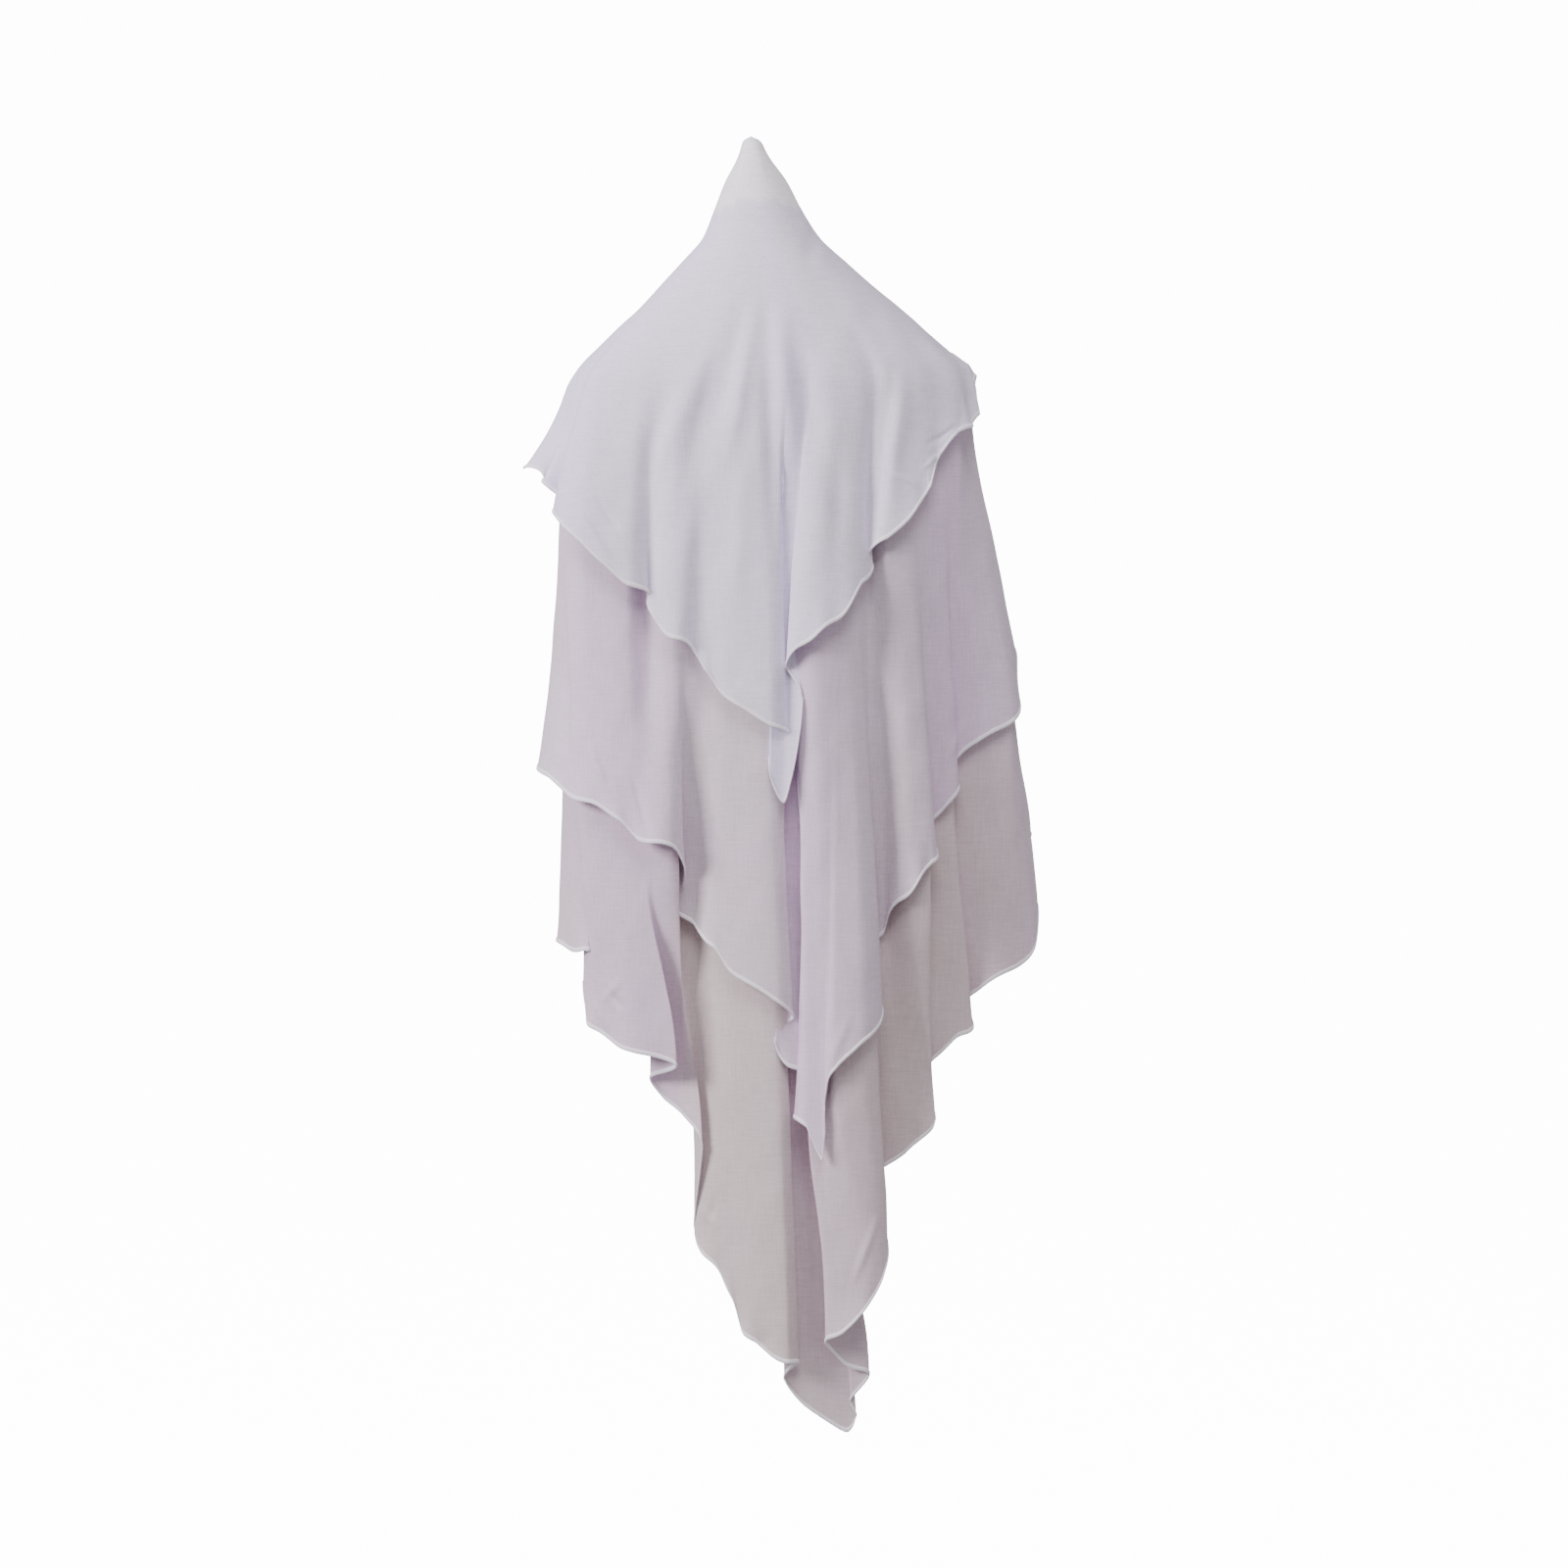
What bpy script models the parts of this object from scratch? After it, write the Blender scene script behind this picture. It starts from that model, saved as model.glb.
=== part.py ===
"""A three-tier khimar hijab in thin chiffon, hung from its peak.

Metres, +Z up. The origin is the point inside the peak that it hangs from. The back of the garment faces -Y
and its face opening +Y. The three tiers are one shape, folded together, that stops at a lower hem each time:
each outer tier lies a layer further out than the one it covers.
"""

import math

import bpy
import numpy as np

# Driving dimensions, in metres
UPPER_LENGTH = 0.734  # from the peak down to the upper tier's point at the back
MIDDLE_LENGTH = 1.122
LOWER_LENGTH = 1.420
HALF_WIDTH = 0.269  # the unit of every share across
HALF_DEPTH = 0.100  # the unit of every share to the back
SHOULDER_DROP = 0.260  # from the peak down to the shoulders
YOKE_DROP = 0.185  # the folds start below this smooth yoke
SEAM_DROP = 0.077  # the crown seam, where the two inner tiers are sewn in
FLARE = 0.033  # how far the freest corner of a hem stands out from the tier below it
CLOTH = 0.0012  # wall of one layer
LAYER_GAP = 0.00095  # clear space between two layers
FACE_TOP = 0.140  # drop of the face opening's upper edge
FACE_HEIGHT = 0.225
FACE_WIDTH = 0.185
BINDING_WIDTH = 0.006
SEAT_GAP = 0.0004  # clearance of the binding round the layers' cut edges

# The hanging form under the folds, from the peak down. Drop is a share of SHOULDER_DROP, width and sway of
# HALF_WIDTH, and depth of HALF_DEPTH. Sway is how far the form's middle lies to the right of the peak.
FORM_COLUMNS = ("drop", "width", "depth", "sway")
FORM = (
    (0.00, 0.000, 0.00, 0.000),
    (0.02, 0.036, 0.09, 0.004),
    (0.07, 0.066, 0.16, 0.010),
    (0.20, 0.130, 0.28, 0.022),
    (0.32, 0.182, 0.38, 0.030),
    (0.44, 0.244, 0.48, 0.044),
    (0.50, 0.297, 0.54, 0.050),
    (0.62, 0.416, 0.66, 0.062),
    (0.75, 0.550, 0.77, 0.078),
    (0.88, 0.688, 0.87, 0.088),
    (1.00, 0.812, 0.94, 0.097),
    (1.08, 0.846, 0.97, 0.100),
    (1.35, 0.868, 1.00, 0.106),
    (2.70, 0.888, 1.00, 0.110),
    (6.00, 0.920, 1.00, 0.120),
)

# Each hem, once round the body: a row for each crest, trough, corner and fold edge. Turn is the angle round
# from the middle of the back, in degrees, right side positive. Across is a share of HALF_WIDTH, back of
# HALF_DEPTH, drop of the tier's own length, and flare of FLARE. The lower tier's hem has no flare.
HEM_COLUMNS = ("turn", "across", "back", "drop", "flare")
UPPER_HEM = (
    (-120.0, -0.640, -0.52, 0.540, 0.6),
    (-92.0, -0.785, -0.02, 0.499, 1.0),
    (-80.0, -0.745, 0.18, 0.525, 0.6),
    (-69.0, -0.715, 0.38, 0.554, 0.2),
    (-64.0, -0.750, 0.62, 0.570, 0.2),
    (-57.0, -0.664, 0.82, 0.616, 0.3),
    (-43.5, -0.504, 0.88, 0.675, 0.2),
    (-36.0, -0.416, 0.78, 0.697, 0.1),
    (-27.5, -0.304, 0.92, 0.756, 0.2),
    (-20.5, -0.204, 0.88, 0.788, 0.1),
    (-12.5, -0.084, 0.96, 0.843, 0.2),
    (-3.0, 0.070, 1.08, 0.884, 0.3),
    (1.5, 0.124, 1.00, 0.898, 0.0),
    (4.5, 0.100, 0.80, 0.941, 0.0),
    (7.5, 0.136, 0.76, 1.000, 0.0),
    (10.5, 0.168, 0.82, 0.851, 0.0),
    (13.5, 0.180, 1.00, 0.798, 0.0),
    (17.5, 0.256, 1.10, 0.755, 0.3),
    (22.0, 0.356, 1.02, 0.719, 0.3),
    (27.0, 0.416, 0.92, 0.675, 0.2),
    (31.5, 0.480, 0.76, 0.643, 0.1),
    (36.5, 0.556, 0.86, 0.609, 0.2),
    (46.0, 0.676, 0.74, 0.546, 0.2),
    (54.0, 0.736, 0.62, 0.485, 0.2),
    (66.0, 0.856, 0.44, 0.441, 0.1),
    (76.0, 0.884, 0.20, 0.418, 0.1),
    (92.0, 0.920, -0.04, 0.365, 0.3),
    (120.0, 0.860, -0.52, 0.470, 0.5),
    (150.0, 0.540, -0.92, 0.620, 0.5),
    (180.0, 0.108, -1.00, 0.680, 0.5),
    (210.0, -0.336, -0.92, 0.640, 0.5),
)
MIDDLE_HEM = (
    (-120.0, -0.680, -0.52, 0.610, 0.5),
    (-92.0, -0.790, -0.04, 0.622, 0.8),
    (-78.0, -0.745, 0.40, 0.631, 0.7),
    (-66.0, -0.690, 0.66, 0.648, 0.3),
    (-52.0, -0.564, 0.82, 0.662, 0.2),
    (-40.0, -0.444, 0.90, 0.688, 0.2),
    (-31.0, -0.328, 0.98, 0.698, 0.3),
    (-27.0, -0.288, 0.92, 0.717, 0.0),
    (-24.0, -0.300, 0.64, 0.750, 0.0),
    (-19.0, -0.216, 0.68, 0.775, 0.1),
    (-13.5, -0.124, 0.82, 0.796, 0.2),
    (-9.5, -0.070, 0.88, 0.817, 0.2),
    (-3.5, 0.096, 0.98, 0.845, 0.3),
    (0.0, 0.150, 0.88, 0.863, 0.0),
    (3.0, 0.128, 0.74, 0.886, 0.0),
    (6.0, 0.156, 0.70, 0.909, 0.0),
    (9.0, 0.236, 0.68, 0.922, 0.0),
    (10.5, 0.276, 0.76, 0.932, 0.0),
    (13.5, 0.260, 0.94, 0.924, 0.0),
    (15.0, 0.232, 0.98, 0.960, 0.2),
    (16.5, 0.300, 1.02, 1.000, 0.2),
    (18.0, 0.328, 1.04, 0.966, 0.2),
    (19.5, 0.304, 1.06, 0.933, 0.2),
    (21.0, 0.340, 1.08, 0.912, 0.2),
    (24.0, 0.440, 1.06, 0.888, 0.3),
    (27.0, 0.514, 0.90, 0.857, 0.0),
    (30.0, 0.500, 0.60, 0.801, 0.0),
    (33.0, 0.540, 0.60, 0.781, 0.0),
    (39.0, 0.652, 0.74, 0.740, 0.2),
    (42.0, 0.730, 0.72, 0.708, 0.0),
    (46.0, 0.724, 0.48, 0.683, 0.0),
    (52.0, 0.796, 0.48, 0.657, 0.0),
    (56.5, 0.826, 0.42, 0.641, 0.0),
    (60.0, 0.806, 0.28, 0.628, 0.0),
    (66.0, 0.880, 0.28, 0.602, 0.1),
    (77.0, 1.060, 0.20, 0.574, 0.1),
    (85.0, 1.078, 0.02, 0.559, 0.1),
    (98.0, 1.040, -0.30, 0.505, 0.2),
    (125.0, 0.900, -0.64, 0.520, 0.4),
    (150.0, 0.560, -0.92, 0.610, 0.5),
    (180.0, 0.110, -1.00, 0.650, 0.5),
    (210.0, -0.350, -0.92, 0.630, 0.5),
)
LOWER_HEM = (
    (-120.0, -0.700, -0.52, 0.640),
    (-92.0, -0.812, -0.06, 0.625),
    (-80.0, -0.764, 0.28, 0.630),
    (-69.0, -0.656, 0.56, 0.632),
    (-64.5, -0.680, 0.40, 0.656),
    (-60.0, -0.660, 0.50, 0.686),
    (-54.0, -0.552, 0.72, 0.701),
    (-48.0, -0.464, 0.84, 0.709),
    (-40.0, -0.300, 0.92, 0.719),
    (-35.0, -0.408, 0.58, 0.730),
    (-31.0, -0.360, 0.54, 0.743),
    (-27.0, -0.272, 0.62, 0.758),
    (-23.5, -0.196, 0.76, 0.781),
    (-20.0, -0.228, 0.56, 0.845),
    (-16.0, -0.124, 0.74, 0.879),
    (-13.0, -0.072, 0.80, 0.898),
    (-10.0, -0.036, 0.84, 0.920),
    (-7.0, 0.032, 0.92, 0.933),
    (-3.0, 0.148, 1.00, 0.946),
    (0.0, 0.192, 0.86, 0.948),
    (3.0, 0.136, 0.76, 0.959),
    (4.5, 0.208, 0.70, 0.978),
    (6.0, 0.390, 0.66, 1.000),
    (7.5, 0.428, 0.66, 0.988),
    (9.0, 0.404, 0.68, 0.977),
    (10.5, 0.484, 0.72, 0.957),
    (12.0, 0.390, 0.84, 0.948),
    (13.5, 0.302, 0.96, 0.931),
    (16.5, 0.376, 1.06, 0.921),
    (19.5, 0.464, 1.08, 0.906),
    (22.5, 0.536, 1.02, 0.879),
    (26.0, 0.556, 0.88, 0.856),
    (30.0, 0.484, 0.54, 0.812),
    (34.0, 0.636, 0.62, 0.785),
    (39.0, 0.750, 0.62, 0.762),
    (44.0, 0.714, 0.44, 0.727),
    (50.0, 0.828, 0.42, 0.701),
    (56.0, 0.900, 0.34, 0.690),
    (61.0, 0.872, 0.20, 0.674),
    (68.0, 0.976, 0.26, 0.655),
    (76.0, 1.084, 0.16, 0.646),
    (83.0, 1.160, 0.04, 0.628),
    (90.0, 1.176, -0.10, 0.600),
    (97.0, 1.116, -0.26, 0.572),
    (104.0, 1.152, -0.36, 0.543),
    (128.0, 0.950, -0.68, 0.560),
    (150.0, 0.580, -0.92, 0.600),
    (180.0, 0.115, -1.00, 0.630),
    (210.0, -0.360, -0.92, 0.640),
)

# How far a tier's own hem swings out of the fold that all tiers share, so that its point hangs in front of
# the tier below. Aside is a share of HALF_WIDTH, and forward of HALF_DEPTH.
TIP_COLUMNS = ("turn", "aside", "forward")
UPPER_TIP = (
    (-3.0, 0.000, 0.00),
    (1.5, 0.000, 0.02),
    (4.5, 0.045, 0.24),
    (7.5, 0.014, 0.29),
    (10.5, -0.016, 0.12),
    (13.5, 0.000, 0.00),
)
MIDDLE_TIP = (
    (-3.5, 0.000, 0.00),
    (0.0, 0.000, 0.02),
    (3.0, 0.044, 0.23),
    (6.0, 0.040, 0.28),
    (9.0, -0.030, 0.24),
    (10.5, -0.060, 0.14),
    (13.5, 0.000, 0.00),
)

# How the cloth is cut into strips: cells between two turns round the back, and cells down each stretch
STRIPS_ROUND = (
    (-96.0, -30.0, 17),
    (-30.0, 0.0, 10),
    (0.0, 21.0, 14),
    (21.0, 48.0, 9),
    (48.0, 106.0, 12),
)
CELLS_BESIDE_FACE = 5
CELLS_ACROSS_FACE = 6
CELLS_TO_SEAM = 2
CELLS_TO_FACE = 1
CELLS_DOWN_FACE = 3
CELLS_BELOW_FACE = 3
CELLS_PER_TIER = 4
EVEN_FALL = 0.75  # of UPPER_LENGTH: how fast every strip leaves the peak, before each makes for its own hem
FACE_MIDDLE = 180.0  # degrees round from the back
MOST_FACE_TURN = 1.5  # how much more turn than at its middle the face opening takes where the form is narrow
MOST_MITRE = 2.2  # the longest that a sharp fold draws out its wall's corner
BINDING_CORNER = 40.0  # degrees: the binding's edges sharper than this stay sharp
TINY = 1e-6  # keeps a length off zero, and a rounded number off its limit

CLOTH_ROUGHNESS = 0.85
UPPER_COLOUR = (0.62, 0.58, 0.68, 1.0)
MIDDLE_COLOUR = (0.58, 0.53, 0.61, 1.0)
LOWER_COLOUR = (0.53, 0.48, 0.52, 1.0)
BINDING_COLOUR = (0.64, 0.60, 0.68, 1.0)


def curve_through(knots, values, at):
    """A smooth curve through values at knots that turns only at the knots: each span is a cubic, and the
    slope at a knot is the harmonic mean of the slopes beside it, or level where those disagree."""
    knots = np.asarray(knots, float)
    values = np.asarray(values, float)
    at = np.asarray(at, float)
    steps = np.diff(knots)
    steps = steps.reshape((-1,) + (1,) * (values.ndim - 1))
    slopes = np.diff(values, axis=0) / steps
    before, after = slopes[:-1], slopes[1:]
    agree = before * after > 0
    total = np.where(agree, before + after, 1.0)
    inner = np.where(agree, 2.0 * before * after / total, 0.0)
    tangents = np.concatenate([slopes[:1], inner, slopes[-1:]])
    span = np.clip(np.searchsorted(knots, at, side="right") - 1, 0, len(knots) - 2)
    width = knots[span + 1] - knots[span]
    share = (at - knots[span]) / width
    share = share.reshape((-1,) + (1,) * (values.ndim - 1))
    width = width.reshape(share.shape)
    rise = 3.0 * share**2 - 2.0 * share**3
    leave = share**3 - 2.0 * share**2 + share
    arrive = share**3 - share**2
    start = values[span] * (1.0 - rise) + tangents[span] * width * leave
    return start + values[span + 1] * rise + tangents[span + 1] * width * arrive


def column(table, names, name):
    """One column of a table by its name, or zeros where the table's rows end before it."""
    rows = np.array(table)
    place = names.index(name)
    return rows[:, place] if place < rows.shape[1] else np.zeros(len(rows))


def hem_at(table, length, turns):
    """A hem's across, back, drop and flare in metres at each turn, on a closed curve through its rows."""
    units = {"across": HALF_WIDTH, "back": HALF_DEPTH, "drop": length, "flare": FLARE}
    turn = column(table, HEM_COLUMNS, "turn")
    sizes = np.stack([column(table, HEM_COLUMNS, name) * size for name, size in units.items()], axis=1)
    whole_turn = np.concatenate([turn[-3:] - 360.0, turn, turn[:3] + 360.0])
    whole_sizes = np.concatenate([sizes[-3:], sizes, sizes[:3]])
    return curve_through(whole_turn, whole_sizes, turns)


def tip_at(table, turns, share):
    """How far a tier's hem swings aside and forward at each turn, by the share of it that is reached."""
    turn = column(table, TIP_COLUMNS, "turn")
    aside = column(table, TIP_COLUMNS, "aside") * HALF_WIDTH
    forward = column(table, TIP_COLUMNS, "forward") * HALF_DEPTH
    inside = np.clip(turns.ravel(), turn[0], turn[-1])
    swing = curve_through(turn, np.stack([aside, -forward], axis=1), inside).reshape(turns.shape + (2,))
    return np.concatenate([swing * share[..., None], np.zeros(turns.shape + (1,))], axis=-1)


def form_size(name, drops):
    """The form's width, depth or sway in metres at each drop."""
    across = HALF_DEPTH if name == "depth" else HALF_WIDTH
    knots = column(FORM, FORM_COLUMNS, "drop") * SHOULDER_DROP
    found = curve_through(knots, column(FORM, FORM_COLUMNS, name)[:, None], np.ravel(drops))
    return across * found.reshape(np.shape(drops))


def form_at(turns, drops):
    """The hanging form's point for each turn and drop: an ellipse that widens from the peak down."""
    angle = np.radians(turns)
    across = form_size("sway", drops) + form_size("width", drops) * np.sin(angle)
    return np.stack([across, form_size("depth", drops) * np.cos(angle)], axis=-1)


def eased(share):
    """0 to 1 with a level start and end."""
    share = np.clip(share, 0.0, 1.0)
    return share * share * (3.0 - 2.0 * share)


def drop_in_upper(downs, hem_drop):
    """The drop at each down of the upper tier: even from strip to strip at the peak, hem_drop at the hem."""
    even = EVEN_FALL * UPPER_LENGTH
    return downs * (even * (1.0 - downs) + hem_drop * downs)


def folded_cloth(turns, downs):
    """The innermost layer's points on grids of turn and down, where down is 0 at the peak and 1, 2 and 3 at
    the three hems, and beside them the flare of the upper and of the middle hem at each turn."""
    hems = [
        hem_at(table, length, turns.ravel()).reshape(turns.shape + (4,))
        for table, length in (
            (UPPER_HEM, UPPER_LENGTH),
            (MIDDLE_HEM, MIDDLE_LENGTH),
            (LOWER_HEM, LOWER_LENGTH),
        )
    ]
    drop = drop_in_upper(np.clip(downs, 0.0, 1.0), hems[0][..., 2])
    drop = drop + (hems[1][..., 2] - hems[0][..., 2]) * np.clip(downs - 1.0, 0.0, 1.0)
    drop = drop + (hems[2][..., 2] - hems[1][..., 2]) * np.clip(downs - 2.0, 0.0, 1.0)
    folds = [hem[..., :2] - form_at(turns, hem[..., 2]) for hem in hems]
    grown = (drop - YOKE_DROP) / (hems[0][..., 2] - YOKE_DROP)
    moved = folds[0] * eased(grown)[..., None]
    moved = moved + (folds[1] - folds[0]) * eased(downs - 1.0)[..., None]
    moved = moved + (folds[2] - folds[1]) * eased(downs - 2.0)[..., None]
    flat = form_at(turns, drop) + moved
    points = np.stack([flat[..., 0], -flat[..., 1], -drop], axis=-1)
    return points, hems[0][..., 3], hems[1][..., 3]


def unit(vectors):
    return vectors / np.maximum(np.linalg.norm(vectors, axis=-1, keepdims=True), TINY)


def normals_of(points):
    """Outward normals of a grid of points that closes on itself round its second index. Each is the mean of
    the six triangles' that meet there, and as much longer than 1 as a mitre over the steepest one needs."""
    here, below = points[:-1], points[1:]
    corner = np.roll(below, -1, axis=1)
    left = unit(np.cross(below - here, corner - here))
    right = unit(np.cross(corner - here, np.roll(here, -1, axis=1) - here))
    under = [np.concatenate([side, side[-1:]]) for side in (left, right)]
    over = [np.concatenate([side[:1], side]) for side in (left, right)]
    beside = [np.roll(side, 1, axis=1) for side in (under[1], over[0], over[1])]
    around = np.stack(under + over[:1] + beside)
    mean = unit(around.sum(axis=0))
    steepest = (around * mean).sum(axis=-1).min(axis=0)
    return mean / np.maximum(steepest, 1.0 / MOST_MITRE)[..., None]


def face_in_grid():
    """Half the opening's turn, and the downs of its upper and lower edge."""
    hem_drop = hem_at(UPPER_HEM, UPPER_LENGTH, np.array([FACE_MIDDLE]))[0, 2]
    even = EVEN_FALL * UPPER_LENGTH

    def down_of(drop):
        return 2.0 * drop / (even + math.sqrt(even * even + 4.0 * (hem_drop - even) * drop))

    width = form_size("width", np.array(FACE_TOP + FACE_HEIGHT / 2))
    half_turn = math.degrees(math.asin(FACE_WIDTH / 2 / width))
    return half_turn, down_of(FACE_TOP), down_of(FACE_TOP + FACE_HEIGHT)


def rounded_grid(turns, downs):
    """The grid bent so that the square block of the face opening becomes an oval: the block's rim goes to the
    circle that a square maps to, with more turn where the form is narrow, and twice as far out the grid lies
    as it was."""
    half_turn, top, bottom = face_in_grid()
    hem_drop = hem_at(UPPER_HEM, UPPER_LENGTH, np.array([FACE_MIDDLE]))[0, 2]
    middle, half_down = (top + bottom) / 2, (bottom - top) / 2
    wide, high = (turns - FACE_MIDDLE) / half_turn, (downs - middle) / half_down
    reach = np.maximum(np.maximum(np.abs(wide), np.abs(high)), TINY)
    pull = np.clip(2.0 - reach, 0.0, 1.0)
    across, along = wide / reach, high / reach
    round_wide = wide * np.sqrt(1.0 - along**2 / 2)
    round_high = high * np.sqrt(1.0 - across**2 / 2)
    high = high + (round_high - high) * pull
    drops = drop_in_upper(np.clip(middle + high * half_down, top, bottom), hem_drop)
    narrow = form_size("width", np.array(FACE_TOP + FACE_HEIGHT / 2)) / form_size("width", drops)
    wide = wide + (round_wide * np.minimum(narrow, MOST_FACE_TURN) - wide) * pull
    return FACE_MIDDLE + wide * half_turn, middle + high * half_down


def grid_lines(tiers):
    """The turns round the body, the downs from the crown seam to the hem of this many tiers, and the
    seam's own down."""
    half_turn, top, bottom = face_in_grid()
    low, high = FACE_MIDDLE - half_turn, FACE_MIDDLE + half_turn
    strips = STRIPS_ROUND + (
        (STRIPS_ROUND[-1][1], low, CELLS_BESIDE_FACE),
        (low, high, CELLS_ACROSS_FACE),
        (high, STRIPS_ROUND[0][0] + 360.0, CELLS_BESIDE_FACE),
    )
    turns = np.concatenate([np.linspace(a, b, n, endpoint=False) for a, b, n in strips])
    seam = SEAM_DROP / (EVEN_FALL * UPPER_LENGTH)
    downs = [
        np.linspace(seam, top, CELLS_TO_FACE, endpoint=False),
        np.linspace(top, bottom, CELLS_DOWN_FACE, endpoint=False),
        np.linspace(bottom, 1.0, CELLS_BELOW_FACE + 1),
    ]
    for tier in range(1, tiers):
        downs.append(np.linspace(tier, tier + 1, CELLS_PER_TIER + 1)[1:])
    return turns, np.concatenate(downs), seam


def layer_points(turns, downs, layer):
    """One layer's grid of points with their normals: 0 is the innermost. Each layer out lies a wall and a gap
    further along the normals of the shape that all share, and towards its hem it also flares along them and
    its point swings to the back."""
    grid_turns, grid_downs = np.meshgrid(turns, downs)
    grid_turns, grid_downs = rounded_grid(grid_turns, grid_downs)
    points, upper_flare, middle_flare = folded_cloth(grid_turns, grid_downs)
    lifted = np.full(grid_turns.shape, layer * (CLOTH + LAYER_GAP))
    swing = np.zeros(points.shape)
    if layer == 2:
        near_hem = np.clip(2.0 * grid_downs - 1.0, 0.0, 1.0) ** 2
        lifted = lifted + upper_flare * near_hem
        swing = tip_at(UPPER_TIP, grid_turns, near_hem)
    if layer == 1:
        near_hem = np.clip(grid_downs - 1.0, 0.0, 1.0) ** 2
        lifted = lifted + middle_flare * near_hem
        swing = tip_at(MIDDLE_TIP, grid_turns, near_hem)
    points = points + normals_of(points) * lifted[..., None] + swing
    return points, normals_of(points)


def in_face(turns, downs):
    """For each cell of the grid, whether it lies in the block that the face opening takes away."""
    half_turn, top, bottom = face_in_grid()
    turn_middles = (turns + np.roll(turns, -1)) / 2
    down_middles = (downs[:-1] + downs[1:]) / 2
    wide = np.abs(turn_middles - FACE_MIDDLE) < half_turn
    high = (down_middles > top) & (down_middles < bottom)
    return high[:, None] & wide[None, :]


def cloth_faces(rows, columns, open_cells):
    """Two triangles for each cell that isn't open, on a grid that closes on itself round its columns."""
    row, column = np.nonzero(~open_cells)
    beside = (column + 1) % columns
    a = row * columns + column
    b = row * columns + beside
    c = (row + 1) * columns + beside
    d = (row + 1) * columns + column
    return np.concatenate([np.stack([a, d, c], axis=1), np.stack([a, c, b], axis=1)])


def material(name, colour):
    made = bpy.data.materials.new(name)
    made.use_nodes = True
    shader = made.node_tree.nodes["Principled BSDF"]
    shader.inputs["Base Color"].default_value = colour
    shader.inputs["Roughness"].default_value = CLOTH_ROUGHNESS
    shader.inputs["Metallic"].default_value = 0.0
    return made


def add_object(name, points, faces, colour):
    """An object from points and faces, without the points that no face uses."""
    used = np.unique(faces)
    place = np.full(len(points), -1)
    place[used] = np.arange(len(used))
    mesh = bpy.data.meshes.new(name)
    mesh.from_pydata(points[used].tolist(), [], place[faces].tolist())
    mesh.update()
    mesh.shade_smooth()
    made = bpy.data.objects.new(name, mesh)
    made.data.materials.append(material(name + "_cloth", colour))
    bpy.context.scene.collection.objects.link(made)
    return made


def walled(points, normals, faces):
    """A closed wall round a sheet: the sheet half a wall outwards, again half a wall inwards and turned round,
    and a rim of two triangles along each edge that only one face has."""
    count = len(points)
    both = np.concatenate([points + normals * CLOTH / 2, points - normals * CLOTH / 2])
    edges = np.concatenate([faces[:, [0, 1]], faces[:, [1, 2]], faces[:, [2, 0]]])
    coded = edges[:, 0] * count + edges[:, 1]
    free = edges[~np.isin(coded, edges[:, 1] * count + edges[:, 0])]
    a, b = free[:, 0], free[:, 1]
    rim = [np.stack([b, a, a + count], axis=1), np.stack([b, a + count, b + count], axis=1)]
    return both, np.concatenate([faces, faces[:, ::-1] + count] + rim)


def add_tier(name, tiers, colour):
    """The tier that stops at hem number tiers. The outermost runs up to a closed peak, and the two inner ones
    stop at the crown seam."""
    layer = 3 - tiers
    turns, downs, seam = grid_lines(tiers)
    if layer == 2:
        downs = np.concatenate([np.linspace(0.0, seam, CELLS_TO_SEAM + 1)[1:-1], downs])
    points, normals = layer_points(turns, downs, layer)
    points, normals = points.reshape(-1, 3), normals.reshape(-1, 3)
    faces = cloth_faces(len(downs), len(turns), in_face(turns, downs))
    if layer == 2:
        column = np.arange(len(turns))
        beside = (column + 1) % len(turns)
        cap = np.stack([np.full_like(column, len(points)), column, beside], axis=1)
        faces = np.concatenate([faces, cap])
        points = np.concatenate([points, [[0.0, 0.0, CLOTH / 2]]])
        normals = np.concatenate([normals, [[0.0, 0.0, 1.0]]])
    return add_object(name, *walled(points, normals, faces), colour)


def face_rim(turns, downs):
    """Row and column numbers of the grid points round the face opening's block, once round."""
    half_turn, top, bottom = face_in_grid()
    inside = np.nonzero(np.abs(turns - FACE_MIDDLE) < half_turn + TINY)[0]
    high = np.nonzero((downs > top - TINY) & (downs < bottom + TINY))[0]
    rows = np.concatenate(
        [np.full(len(inside), high[0]), high[1:], np.full(len(inside) - 1, high[-1]), high[-2:0:-1]]
    )
    columns = np.concatenate(
        [inside, np.full(len(high) - 1, inside[-1]), inside[-2::-1], np.full(len(high) - 2, inside[0])]
    )
    return rows, columns


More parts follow.
